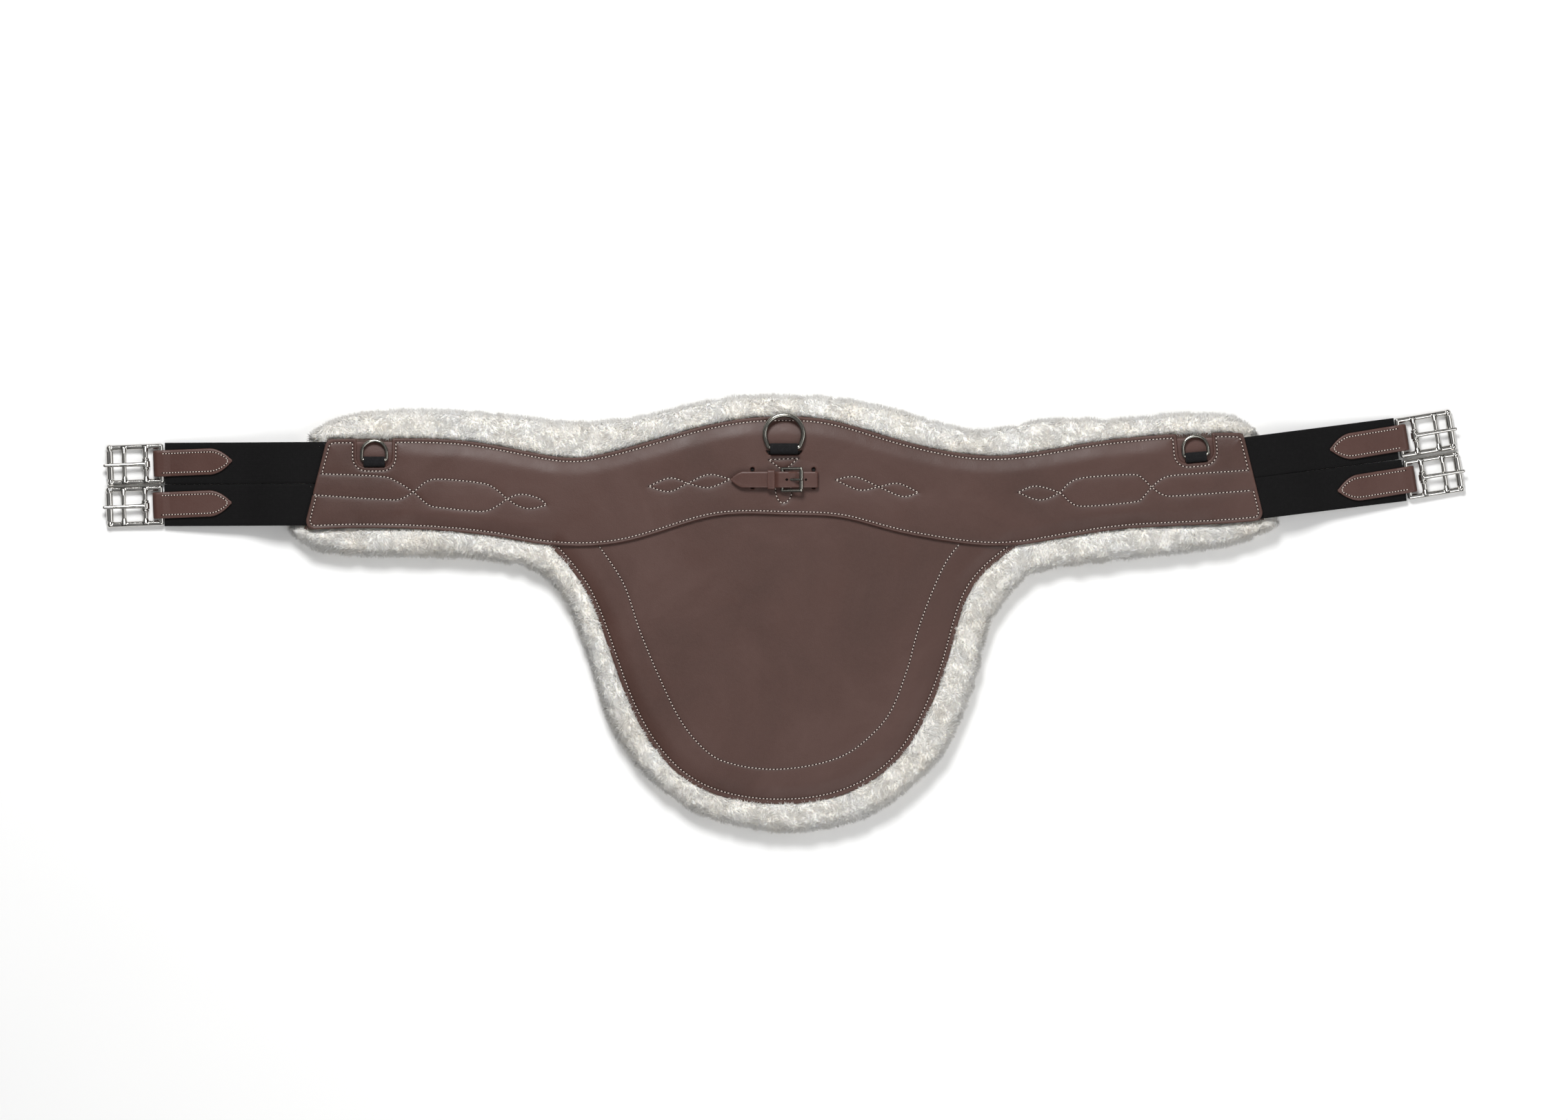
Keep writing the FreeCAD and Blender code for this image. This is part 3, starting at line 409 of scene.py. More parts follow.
def panel(name, loops, heights, material, spacing, rows=(), extra=(), edge_step=1.6 * MM):
    """A closed flat piece inside loops. heights(xy, edge distance, edge index) gives each point's top and bottom;
    they meet on the boundary. rows are distances from the edge, and extra more points, where the mesh is finer."""
    loops = [resample(loop, edge_step if i == 0 else 0.8 * MM) for i, loop in enumerate(loops)]
    boundary = np.vstack(loops)
    fine = np.vstack([resample(loop, 0.5 * MM) for loop in loops])

    def within(points):
        kept = inside(points, loops[0])
        for hole in loops[1:]:
            kept &= ~inside(points, hole)
        return kept

    inner = []
    for d in rows:
        for loop in loops:
            run = loop + inward(loop) * d
            gap, _ = nearest(run, fine)
            run = run[gap > 0.93 * d]
            inner += [(p, min(0.45 * d, 0.9 * MM)) for p in run]
    inner += [(p, 0.45 * MM) for p in extra]
    low, high = boundary.min(axis=0), boundary.max(axis=0)
    grid_x = np.arange(low[0], high[0], spacing)
    grid_y = np.arange(low[1], high[1], spacing * 0.866)
    grid = [(x + (0.5 * spacing if j % 2 else 0), y) for j, y in enumerate(grid_y) for x in grid_x]
    inner += [(np.array(p), 0.6 * spacing) for p in grid]
    places = np.array([p for p, _ in inner])
    gaps = np.array([g for _, g in inner])
    distance, _ = nearest(places, fine)
    keep = within(places) & (distance > np.minimum(gaps, 0.5 * spacing))
    places, gaps = places[keep], gaps[keep]
    cell, kept, crowd = 0.9 * MM, [], {}
    for p, g in zip(places, gaps):
        reach = int(math.ceil(g / cell))
        home = (int(p[0] // cell), int(p[1] // cell))
        near = any(
            (p[0] - q[0]) ** 2 + (p[1] - q[1]) ** 2 < g * g
            for i in range(-reach, reach + 1) for j in range(-reach, reach + 1)
            for q in crowd.get((home[0] + i, home[1] + j), ())
        )
        if not near:
            crowd.setdefault(home, []).append(p)
            kept.append(p)
    points = np.vstack([boundary, kept])
    edges, start = [], 0
    for loop in loops:
        count = len(loop)
        edges += [(start + i, start + (i + 1) % count) for i in range(count)]
        start += count
    result = delaunay_2d_cdt([Vector(p) for p in points], edges, [], 0, 1e-9)
    flat = np.array([tuple(v) for v in result[0]])
    rim = np.array([any(i < len(boundary) for i in origin) for origin in result[3]])
    triangles = np.array(result[2])
    triangles = triangles[within(flat[triangles].mean(axis=1))]
    a, b, c = flat[triangles[:, 0]], flat[triangles[:, 1]], flat[triangles[:, 2]]
    turn = (b[:, 0] - a[:, 0]) * (c[:, 1] - a[:, 1]) - (b[:, 1] - a[:, 1]) * (c[:, 0] - a[:, 0])
    triangles[turn < 0] = triangles[turn < 0][:, ::-1]
    used = np.unique(triangles)
    renumber = -np.ones(len(flat), int)
    renumber[used] = np.arange(len(used))
    flat, rim, triangles = flat[used], rim[used], renumber[triangles]
    distance, index = nearest(flat, fine)
    distance[rim] = 0.0
    top, bottom = heights(flat, distance, fine[index])
    top = np.where(rim, (top + bottom) / 2, top)
    count = len(flat)
    below = np.arange(count)
    below[~rim] = count + np.arange((~rim).sum())
    vertices = np.vstack([np.column_stack([flat, top]), np.column_stack([flat[~rim], bottom[~rim]])])
    faces = np.vstack([triangles, below[triangles][:, ::-1]])
    made = mesh_object(name, vertices, faces, material)
    near_edge = np.exp(-distance / (0.9 * MM))
    add_attribute(made, "edge", np.concatenate([near_edge, near_edge[~rim]]))
    return made


def rounded(distance, radius):
    """How far a surface falls below its level near a rounded edge."""
    inner = np.clip(radius - distance, 0, radius)
    return radius - np.sqrt(np.maximum(radius**2 - inner**2, 0))


# ---- stitching
def stitch_places(run, pitch, closed=False):
    """Even places along a run of points: a middle and a direction for each stitch."""
    points = resample(run, pitch, closed)
    if closed:
        along = np.roll(points, -1, axis=0) - points
        return points + along / 2, unit(along)
    along = np.diff(points, axis=0)
    return points[:-1] + along / 2, unit(along)


def bead_template(rings, sides):
    """A closed unit bead along X: its vertices and faces."""
    turns = np.arange(sides) * 2 * math.pi / sides
    vertices = [(-1, 0, 0), *((t, r * math.cos(a), r * math.sin(a)) for t, r in rings for a in turns), (1, 0, 0)]
    around = [(i, (i + 1) % sides) for i in range(sides)]
    faces = [(0, 1 + j, 1 + i) for i, j in around]
    for a in range(1, (len(rings) - 1) * sides, sides):
        faces += [(a + i, a + j, a + sides + j, a + sides + i) for i, j in around]
    last = len(vertices) - 1
    return np.array(vertices, float), faces + [(last, last - sides + i, last - sides + j) for i, j in around]


THREAD_BEAD = bead_template([(-0.8, 0.75), (0, 1), (0.8, 0.75)], 6)
HOLE_SHADE_BEAD = bead_template([(-0.7, 0.72), (0, 1), (0.7, 0.72)], 6)


def scatter(name, template, frames, sizes, material):
    """Copies of a template, each in its own 3 by 3 frame at a place, joined in one mesh."""
    shape, faces = template
    vertices = [place + (shape * size) @ axes for (place, axes), size in zip(frames, sizes)]
    all_faces = [[n * len(shape) + i for i in face] for n in range(len(vertices)) for face in faces]
    return mesh_object(name, np.vstack(vertices), all_faces, material)


def sew(name, body, surface, rows, pitch=3.3 * MM, slant=10.0, normal_side=1.0):
    """Threads of several rows of stitches, and painted shade at their needle holes, laid on a surface from above or
    below.
    """
    tree = BVHTree.FromObject(surface, bpy.context.evaluated_depsgraph_get())
    luck = random.Random(name)
    threads, hole_shades = [], []
    for row, closed in rows:
        places, ways = stitch_places(row, pitch, closed)
        for place, way in zip(places, ways):
            start = 0.2 * normal_side
            (spot, normal, *_), (hole, hole_normal, *_) = (
                tree.ray_cast(Vector((*(place + way * shift), start)), -UP * normal_side)
                for shift in (0.0, -pitch / 2)
            )
            if spot is None or hole is None:
                continue
            normal = np.array(normal)
            turn = math.radians(slant + luck.uniform(-5, 5))
            c, s = math.cos(turn), math.sin(turn)
            along = np.array((way[0] * c - way[1] * s, way[0] * s + way[1] * c, 0.0))
            along -= normal * along.dot(normal)
            along /= np.linalg.norm(along)
            axes = np.array([along, np.cross(normal, along), normal])
            threads.append((np.array(spot) + normal * 0.12 * MM, axes))
            hole_shades.append((np.array(hole) + np.array(hole_normal) * 0.03 * MM, axes))
    long = [(pitch * luck.uniform(0.25, 0.29), 0.46 * MM, 0.34 * MM) for _ in threads]
    dress(scatter(f"{name}_thread", THREAD_BEAD, threads, long, THREAD), body)
    # near-black discs at the needle holes: painted shade inside them
    wide = [(0.68 * MM, 0.66 * MM, 0.24 * MM)] * len(hole_shades)
    dress(scatter(f"{name}_hole_shades", HOLE_SHADE_BEAD, hole_shades, wide, HOLE_SHADE), body)


# ---- strips: straps, webbing, chapes
def bent_path(corners, step):
    """Points and directions along straight runs joined by tangent arcs, through corners (u, w, bend radius)."""
    spots = [Vector((c[0], c[1])) for c in corners]
    out = [spots[0]]
    for i in range(1, len(spots) - 1):
        here = spots[i]
        into, onward = (here - spots[i - 1]).normalized(), (spots[i + 1] - here).normalized()
        turn = math.atan2(into.x * onward.y - into.y * onward.x, into.dot(onward))
        radius = corners[i][2]
        reach = radius * math.tan(abs(turn) / 2)
        first = here - into * reach
        sign = 1 if turn > 0 else -1
        centre = first + Vector((-into.y, into.x)) * sign * radius
        pieces = max(4, int(math.ceil(abs(turn) / 0.2)))
        for k in range(pieces + 1):
            spin = Matrix.Rotation(turn * k / pieces, 2)
            out.append(centre + spin @ (first - centre))
    out.append(spots[-1])
    return resample(np.array([tuple(p) for p in out]), step, closed=False)


def strip(name, path, place, half_width, thickness, material, crown=0.0, closed=False, relief=None):
    """A flat strip with rounded edges along a path (u, w), in a frame whose second axis is across the strip."""
    path = np.asarray(path)
    count = len(path)
    along = np.roll(path, -1, axis=0) - np.roll(path, 1, axis=0) if closed else np.gradient(path, axis=0)
    along = unit(along)
    travelled = travel(path)
    half = thickness / 2
    across = [0.0, 0.25, 0.5, 0.72, 0.88]
    across = [-v for v in across[:0:-1]] + across
    arc = [math.pi / 2 * k for k in (0.75, 0.5, 0.25, 0.0, -0.25, -0.5, -0.75)]
    vertices, uvs, edge = [], [], []
    for i in range(count):
        wide = half_width(travelled[i]) if callable(half_width) else half_width
        normal = np.array((-along[i][1], along[i][0]))
        straight = max(wide - half, 0.05 * MM)
        ring = [(v * straight, half + crown * (1 - v * v)) for v in across]
        ring += [(straight + half * math.cos(a), half * math.sin(a)) for a in arc]
        ring += [(v * straight, -half) for v in reversed(across)]
        ring += [(-straight - half * math.cos(a), -half * math.sin(a)) for a in arc]
        for v, w in ring:
            spot = path[i] + normal * (w + (relief(travelled[i], v, w > 0) if relief else 0.0))
            vertices.append(place @ Vector((spot[0], v, spot[1])))
            uvs.append((travelled[i], v))
            edge.append(math.exp(-(wide - abs(v)) / (0.8 * MM)))
    size = len(ring)
    faces = []
    for i in range(count if closed else count - 1):
        j = (i + 1) % count
        a, b = i * size, j * size
        faces += [(a + k, a + (k + 1) % size, b + (k + 1) % size, b + k) for k in range(size)]
    if not closed:
        for base, order in ((0, -1), ((count - 1) * size, 1)):
            centre = len(vertices)
            vertices.append(sum((vertices[base + k] for k in range(size)), Vector()) / size)
            uvs.append(uvs[base + 4])
            edge.append(1.0)
            for k in range(size):
                pair = (base + k, base + (k + 1) % size)
                faces.append((centre, *pair[::order]))
    made = mesh_object(name, vertices, faces, material)
    bm = bmesh.new()
    bm.from_mesh(made.data)
    bmesh.ops.recalc_face_normals(bm, faces=bm.faces)
    bm.to_mesh(made.data)
    bm.free()
    layer = made.data.uv_layers.new(name="strip")
    corners = pull(made.data.loops, "vertex_index", 1, int)[:, 0]
    layer.data.foreach_set("uv", np.array(uvs, np.float32)[corners].ravel())
    add_attribute(made, "edge", edge)
    return made


# ---- the girth's layers
GIRTH_LINE = flat_loops("inner_lining")[0]
FACE_LOOPS = flat_loops("girth_face_leather")
GUARD_LOOP = flat_loops("belly_guard_leather")[0]
OUTLINE = resample(GIRTH_LINE, 0.6 * MM)
STRAP_BAND = 19.5 * MM
STRAP_BURIED = 44 * MM
EDGE_SINK = 3.4 * MM
EDGE_SINK_ENDS = 1.6 * MM
SINK_WIDTH = 17 * MM


def axes_at(origin, along, across):
    """A frame with its second axis exactly across and its first as near along as that allows."""
    y = Vector(across).normalized()
    x = Vector(along)
    x = (x - y * x.dot(y)).normalized()
    made = Matrix((x, y, x.cross(y))).transposed().to_4x4()
    made.translation = Vector(origin)
    return made


def joint_frame(name):
    """X away from a hinge and level, Y along its axis, Z up."""
    joint = JOINTS[name]
    across = -Vector(joint["axis"])
    return axes_at(joint["pos_m"], across.cross(UP), across)


STRAP_FRAMES = {end: joint_frame(f"{end}_strap_flex") for end in ENDS}


def strap_places(points, end):
    """Plan positions in a strap's own frame: along it and across it."""
    back = STRAP_FRAMES[end].inverted()
    return points @ np.array([row[:2] for row in back[:2]]).T + np.array([row[3] for row in back[:2]])


def clear_of_straps(points, back, front, margin):
    """0 in each strap's band from back to front along it, rising to 1 within a margin beside it."""
    share = np.ones(len(points))
    for end in ENDS:
        local = strap_places(points, end)
        off_u = np.maximum(np.maximum(back - local[:, 0], local[:, 0] - front), 0)
        off_v = np.maximum(np.abs(local[:, 1]) - STRAP_BAND, 0)
        share = np.minimum(share, smooth_step(np.hypot(off_u, off_v) / margin))
    return share


def outline_sink():
    """How far each sample of the girth's outline is pulled down by its edge stitching."""
    depth = EDGE_SINK + (EDGE_SINK_ENDS - EDGE_SINK) * smooth_step((np.abs(OUTLINE[:, 0]) - 330 * MM) / (35 * MM))
    return depth * clear_of_straps(OUTLINE, -STRAP_BURIED, 15 * MM, 10 * MM)


OUTLINE_SINK = outline_sink()


def sink(points, distance=None, index=None):
    """How far the upper layers dip towards the stitched outline."""
    if distance is None:
        distance, index = nearest(points, OUTLINE)
    return OUTLINE_SINK[index] * (1 - smooth_step(distance / SINK_WIDTH))


def ripple(points, size, seed):
    """Soft unevenness between -1 and 1 with bumps about size across."""
    return np.array([noise.noise(Vector((x / size, y / size, seed))) for x, y in points])


def edge_row(loop, inset, wanted):
    """Runs of a row of stitches inset from a closed loop, where wanted(points) is true."""
    even = resample(loop, 0.8 * MM)
    run = even + inward(even) * inset
    gap, _ = nearest(run, even)
    keep = (gap > inset - 0.25 * MM) & wanted(run)
    if keep.all():
        return [(run, True)]
    start = int(np.argmin(keep))
    run, keep = np.roll(run, -start, axis=0), np.roll(keep, -start)
    runs = [[]]
    for point, use in zip(run, keep):
        if not use or (runs[-1] and np.linalg.norm(point - runs[-1][-1]) >= 6 * MM):
            runs.append([])
        if use:
            runs[-1].append(point)
    return [(np.array(points), False) for points in runs if len(points) > 8]


# Rows of stitching across the face leather, in millimetres: pairs of waves that cross like a twisted ribbon.
WAVES = {
    "left_a": [(-431, 130), (-376, 127.6), (-361, 123), (-345, 113), (-331, 101), (-318, 98.4), (-282, 95),
               (-268, 99.5), (-257.6, 106.7), (-245, 111), (-229, 107.5), (-221, 101)],
    "left_b": [(-438, 110.4), (-372, 106), (-357, 106.5), (-345, 113), (-333, 122.6), (-320, 125), (-283, 121.6),
               (-270, 117), (-257.6, 106.7), (-247, 100), (-236, 97.5), (-221, 101)],
    "centre_left_a": [(-126, 118.3), (-106, 126.2), (-89.6, 121.2), (-70, 117.2), (-50, 125)],
    "centre_left_b": [(-126, 118.3), (-107, 113.4), (-89.6, 121.2), (-70, 129.4), (-50, 125)],
    "centre_right_a": [(48, 124.4), (66, 127.3), (88.2, 117.9), (110, 108.9), (125, 112.5)],
    "centre_right_b": [(48, 124.4), (70, 114.9), (88.2, 117.9), (106.3, 121.1), (125, 112.5)],
    "right_a": [(217.8, 112.7), (234, 118.6), (256.3, 112.4), (266, 104), (279, 99.8), (326, 103.8), (334, 108),
                (342.3, 117.5), (353, 126), (368, 129), (432, 133.3)],
    "right_b": [(217.8, 112.7), (238, 105.5), (256.3, 112.4), (265, 121), (279, 126.4), (324, 129.2), (334, 125.5),
                (342.3, 117.5), (353, 110.4), (368, 109.6), (434, 114.4)],
    "web_base": [(-14.3, 143), (13.6, 144.6)],
    "web_a": [(-14.3, 143), (-0.3, 132), (5.5, 120), (7, 111), (3.5, 104.5), (-1.6, 102.5)],
    "web_b": [(13.6, 144.6), (-0.3, 132), (-6.5, 122), (-8, 114), (-5.6, 106), (-1.6, 102.5)],
}
GUARD_LINE = [(-176, 68), (-150, 29), (-134.6, -15), (-116.7, -58), (-95, -101.6), (-70, -130), (-45.9, -140.6),
              (-12.5, -145), (22, -142), (53.6, -133), (77.2, -117), (98.9, -91.8), (114.6, -52.4), (124.3, -17),
              (138, 20.2), (152, 49.8), (168, 70)]
EDGE_INSET = 3.7 * MM
GUARD_INSET = 4.6 * MM
LEFT_GAP = (111 * MM, 130 * MM)
RIGHT_GAP = (115 * MM, 133 * MM)
END_ZONE = 427 * MM


def face_rows():
    def wanted(points):
        x, y = points[:, 0], points[:, 1]
        left = (x < -END_ZONE + 4 * MM) & (y > LEFT_GAP[0]) & (y < LEFT_GAP[1])
        right = (x > END_ZONE) & (y > RIGHT_GAP[0]) & (y < RIGHT_GAP[1])
        return ~left & ~right

    rows = edge_row(FACE_LOOPS[0], EDGE_INSET, wanted)
    return rows + [(smooth_run(points), False) for points in WAVES.values()]


def guard_rows():
    face = FACE_LOOPS[0]
    rows = edge_row(GUARD_LOOP, GUARD_INSET, lambda points: ~inside(points, face))
    line = smooth_run(GUARD_LINE)
    return rows + [(line[~inside(line, face)], False)]


def beside(rows, offsets):
    """Points on and beside rows of stitches, so that the mesh can show their groove."""
    points = []
    for run, closed in rows:
        even = resample(run, 1.3 * MM, closed)
        side = left_of(unit(np.gradient(even, axis=0)))
        for offset in offsets:
            points += list(even + side * offset)
    return points


def sewn_panel(name, node, stitching, loops, rows, crown, bead, spacing):
    """Padded leather whose surface sinks at its stitching and rolls over at its edge."""
    low, high = levels(node)
    sewn = np.vstack([resample(run, 0.7 * MM, closed) for run, closed in rows])
    memory = {}

    def heights(points, distance, index):
        from_row, _ = nearest(points, sewn)
        on_edge, at = nearest(points, OUTLINE)
        dip = sink(points, on_edge, at)
        swell = crown * (1 - np.exp(-from_row / (11 * MM)))
        puffs = 0.16 * MM * ripple(points, 34 * MM, 3.1) + 0.07 * MM * ripple(points, 11 * MM, 7.7)
        groove = hill(from_row, 0, 1.0)
        lip = bead(points, distance, index)
        body = high - crown - dip + swell + puffs * smooth_step(from_row / (6 * MM))
        top = body - 0.42 * MM * groove + lip - rounded(distance, 1.3 * MM)
        bottom = low - dip + rounded(distance, 1.3 * MM)
        if name == "girth_face":
            tucked = inside(points, GUARD_LOOP)
            bottom = np.where(tucked, np.maximum(bottom, GUARD_TOP + 0.02 * MM), bottom)
        # the groove also darkens the leather's colour there, as painted shade
        memory["groove"] = np.concatenate([groove, np.zeros(len(points))])
        return top, np.minimum(bottom, top - 0.4 * MM)

    rows_in = [d * MM for d in (0.15, 0.5, 1.1, 1.9, 2.8, 5.2, 7.5, 10.5)]
    extra = beside(rows, [d * MM for d in (0.0, -0.9, 0.9, -2.0, 2.0)])
    made = panel(name, loops, heights, BROWN, spacing, rows=rows_in, extra=extra)
    add_attribute(made, "groove", memory["groove"][:len(made.data.vertices)])
    dress(made, node=node)
    sew(stitching, "girth", made, rows)


def seam_bead(points, distance, index):
    """The rolled edge: a bold bead over the belly guard and a slight lip elsewhere."""
    gap, _ = nearest(points, resample(GUARD_LOOP, 1.0 * MM))
    depth = np.where(inside(points, GUARD_LOOP), gap, 0.0)
    bold, slight = 1.6 * MM * hill(distance, 1.6, 1.05), 0.3 * MM * hill(distance, 1.3, 0.9)
    return slight + (bold - slight) * smooth_step(depth / (5 * MM))


def slight_lip(points, distance, index):
    return 0.28 * MM * hill(distance, 1.3, 0.9)


def build_leathers():
    sewn_panel("girth_face", "girth_face_leather", "girth_stitching",
               FACE_LOOPS, face_rows(), 0.9 * MM, seam_bead, 3.4 * MM)
    sewn_panel("belly_guard", "belly_guard_leather", "guard_stitching",
               [GUARD_LOOP], guard_rows(), 0.0, slight_lip, 4.2 * MM)


def flat_layer(node, name, material, spacing=9 * MM, padding=None, sinks=True):
    """A plain flat layer, its edges eased and its upper side following the dips above it."""
    low, high = levels(node)
    ease = min(0.5 * (high - low), 1.2 * MM)

    def heights(points, distance, index):
        dip = np.minimum(sink(points), 0.7 * (high - low) if padding is not None else 10 * MM) if sinks else 0.0
        wave = 0.06 * MM * ripple(points, 16 * MM, 1.3)
        top = high - dip - rounded(distance, ease) + wave
        bottom = low + rounded(distance, ease) - (dip if padding is None else 0.0)
        return top, np.minimum(bottom, top - 0.2 * MM)

    made = panel(name, flat_loops(node), heights, material, spacing, rows=[0.3 * MM, ease], edge_step=2.4 * MM)
    dress(made, node=node)


def build_layers():
    flat_layer("inner_lining", "lining", LINING, sinks=False)
    flat_layer("sheepskin_hide", "hide", HIDE, sinks=False)
    for side in ("left", "right"):
        flat_layer(f"{side}_end_patch", f"{side}_patch", BROWN_STRAP, 3.5 * MM)
        flat_layer(f"{side}_end_backing", f"{side}_backing", CORE_WEB, sinks=False)
    flat_layer("belly_guard_foam", "guard_padding", FOAM_SHADE, padding=0.6)
    flat_layer("girth_foam", "girth_padding", FOAM_SHADE, 5 * MM, padding=0.8)
    flat_layer("reinforcing_webbing", "long_webbing", CORE_WEB, sinks=False)


def build_tapes():
    """Hook-and-loop tapes: each separate strip of the CAD node becomes a strip with rounded edges."""
    low, high = levels("hook_and_loop_tapes")
    for number, loop in enumerate(flat_loops("hook_and_loop_tapes")):
        corner, far = loop.min(axis=0), loop.max(axis=0)
        run = np.linspace(corner[0], far[0], 40)
        path = np.column_stack([run, np.full(40, (low + high) / 2)])
        place = Matrix.Translation((0, (corner[1] + far[1]) / 2, 0))
        made = strip(f"tape_{number + 1}", path, place, (far[1] - corner[1]) / 2, high - low, TAPE)
        dress(made, node=None if number else "hook_and_loop_tapes")


# ---- sheepskin
WOOL_TOP = 24.4 * MM
WOOL_EDGE = 11 * MM
WOOL_UNDER = 0.9 * MM
CHANNEL_TOP = 19.0 * MM


def past_leather(points):
    """Signed distance outside the leather's outline."""
    gap, _ = nearest(points, OUTLINE)
    return np.where(inside(points, GIRTH_LINE), -gap, gap)


def build_fleece():
    loop = flat_loops("sheepskin_fleece", top=False)[0]

    def heights(points, distance, index):
        rise = smooth_step((past_leather(points) + 5 * MM) / (10 * MM))
        clumps = 0.9 * MM * ripple(points, 11 * MM, 5.5) + 0.55 * MM * ripple(points, 4.6 * MM, 9.2)
        top = HIDE_LOW - 0.5 * MM + (WOOL_TOP - HIDE_LOW + 0.5 * MM) * rise
        cap = CHANNEL_TOP + (WOOL_TOP - CHANNEL_TOP) * clear_of_straps(points, -6 * MM, math.inf, 7 * MM)
        top = np.minimum(top, cap) + clumps * rise
        top = top - rounded(distance, WOOL_EDGE)
        under = WOOL_UNDER + 0.5 * MM * ripple(points, 13 * MM, 2.2) + rounded(distance, WOOL_EDGE * 0.8)
        return top, np.maximum(under, 0.2 * MM)

    low, high = loop.min(axis=0), loop.max(axis=0)
    step = 2.6 * MM
    grid = np.array([(x, y) for x in np.arange(low[0], high[0], step) for y in np.arange(low[1], high[1], step)])
    grid = grid + np.random.default_rng(4).uniform(-0.3, 0.3, grid.shape) * step
    grid = grid[inside(grid, loop)]
    rim = grid[past_leather(grid) > -5 * MM]
    rows = [d * MM for d in (0.25, 0.9, 1.9, 3.2, 5.0, 7.4)]
    fleece = panel("fleece", [loop], heights, WOOL, 5.5 * MM, rows=rows, extra=list(rim), edge_step=2.2 * MM)
    ruffle(fleece)
    dress(fleece, node="sheepskin_fleece")
    tufts(fleece)


def ruffle(piece):
    """Pushes the fleece's open rim in and out sideways, so that its edge isn't a drawn line."""
    mesh = piece.data
    places, normals = pull(mesh.vertices, "co"), pull(mesh.vertices, "normal")
    push = [1.1 * noise.noise(Vector(p / (9 * MM))) + 0.7 * noise.noise(Vector(p / (3.8 * MM))) for p in places]
    side = np.where((places[:, 2] > 4 * MM) & (places[:, 2] < 23 * MM), 1.0, 0.35)
    moved = places + normals * (np.array(push) * MM * side)[:, None]
    mesh.vertices.foreach_set("co", moved.ravel())
    mesh.update()


def lock_template():
    """A unit wool lock along Z: three sides, two rings and a tip that leans over."""
    rings = [(0.0, 1.0, 0.0), (0.5, 0.85, 0.12)]
    vertices = [(r * math.cos(a) + lean, r * math.sin(a), t) for t, r, lean in rings for a in (0, 2.1, 4.2)]
    around = ((0, 1), (1, 2), (2, 0))
    faces = [(2, 1, 0), *((i, j, 3 + j, 3 + i) for i, j in around), *((3 + i, 3 + j, 6) for i, j in around)]
    return np.array([*vertices, (0.62, 0.0, 1.0)]), faces


LOCK = lock_template()


def grow(name, surface, count, chosen, length, width, spread, seed):
    """Wool locks on the chosen faces of a surface, combed in drifting directions and shaded like the fleece."""
    luck = np.random.default_rng(seed)
    mesh = surface.data
    mesh.calc_loop_triangles()
    triangles = pull(mesh.loop_triangles, "vertices", 3, int)
    spots = pull(mesh.vertices, "co")
    a, b, c = (spots[triangles[:, k]] for k in range(3))
    cross = np.cross(b - a, c - a)
    area = np.linalg.norm(cross, axis=1)
    weight = np.where(chosen((a + b + c) / 3, cross / area[:, None]), area, 0.0)
    pick = luck.choice(len(triangles), count, p=weight / weight.sum())
    s, t = np.sqrt(luck.random(count)), luck.random(count)
    place = a[pick] * (1 - s)[:, None] + b[pick] * (s * (1 - t))[:, None] + c[pick] * (s * t)[:, None]
    normal = cross[pick] / area[pick][:, None]
    spots = [Vector(p) / (14 * MM) for p in place]
    drift = np.array([[noise.noise(p), noise.noise(p + Vector((9, 4, 2))), 0] for p in spots])
    lean = drift * 2.6 + luck.normal(0, 0.2, (count, 3))
    way = normal * 0.55 + spread * lean
    way[:, 2] = np.where(place[:, 2] < 3 * MM, np.maximum(way[:, 2], -0.12), way[:, 2])
    way = unit(way)
    side = unit(np.cross(way, luck.normal(0, 1, (count, 3))))
    third = np.cross(way, side)
    long = length * luck.uniform(0.65, 1.25, count)
    wide = width * luck.uniform(0.7, 1.3, count)
    shape, faces = LOCK
    scaled = shape * np.column_stack([wide, wide, long])[:, None, :]
    scaled[:, :, 0] += (shape[:, 2] ** 2) * (0.28 * long)[:, None]
    frames = np.stack([side, third, way], axis=1)
    root = place - way * (0.22 * long)[:, None]
    vertices = (root[:, None, :] + np.einsum("nvk,nkj->nvj", scaled, frames)).reshape(-1, 3)
    vertices[:, 2] = np.maximum(vertices[:, 2], 0.15 * MM)
    offset = np.arange(count)[:, None] * len(shape)
    all_faces = [corners for face in faces for corners in (offset + face).tolist()]
    made = mesh_object(name, vertices, all_faces, WOOL)
    # root runs from 1 at each lock's root to 0 along it, for the painted shade there
    add_attribute(made, "root", np.tile(np.clip(1 - shape[:, 2] * 1.6, 0, 1), count))
    facing = np.repeat(normal, len(shape), axis=0)
    facing = facing + 0.07 * np.repeat(luck.normal(0, 1, (count, 3)), len(shape), axis=0)
    made.data.normals_split_custom_set_from_vertices([tuple(n) for n in unit(facing)])
    dress(made)


def tufts(fleece):
    def rim(middle, normal):
        return (past_leather(middle[:, :2]) > 0.5 * MM) & (middle[:, 2] > 2.5 * MM)

    def under(middle, normal):
        return (normal[:, 2] < -0.3) & (middle[:, 2] < 8 * MM)

    for number in range(5):
        grow(f"rim_wool_{number + 1}", fleece, 15000, rim, 5.4 * MM, 0.34 * MM, 0.55, 11 + number)
    grow("under_wool", fleece, 15000, under, 5.0 * MM, 0.95 * MM, 1.6, 31)


# ---- elastic straps and their leather chapes
ELASTIC_HALF = 19.4 * MM
ELASTIC_THICK = 2.2 * MM
ELASTIC_BEND = 75 * MM
ELASTIC_STRAIGHT = 81.2 * MM
ELASTIC_SHORT = 3.6 * MM
ANCHOR_BACK = 42.0 * MM
SPLIT = 12 * MM
CHAPE_THICK = 2.5 * MM
CHAPE_HALF = 12.3 * MM
CHAPE_LONG = 67.2 * MM
CHAPE_POINT = 21 * MM
CHAPE_REACH = 7.4 * MM
REAR_BAR = 2.2 * MM


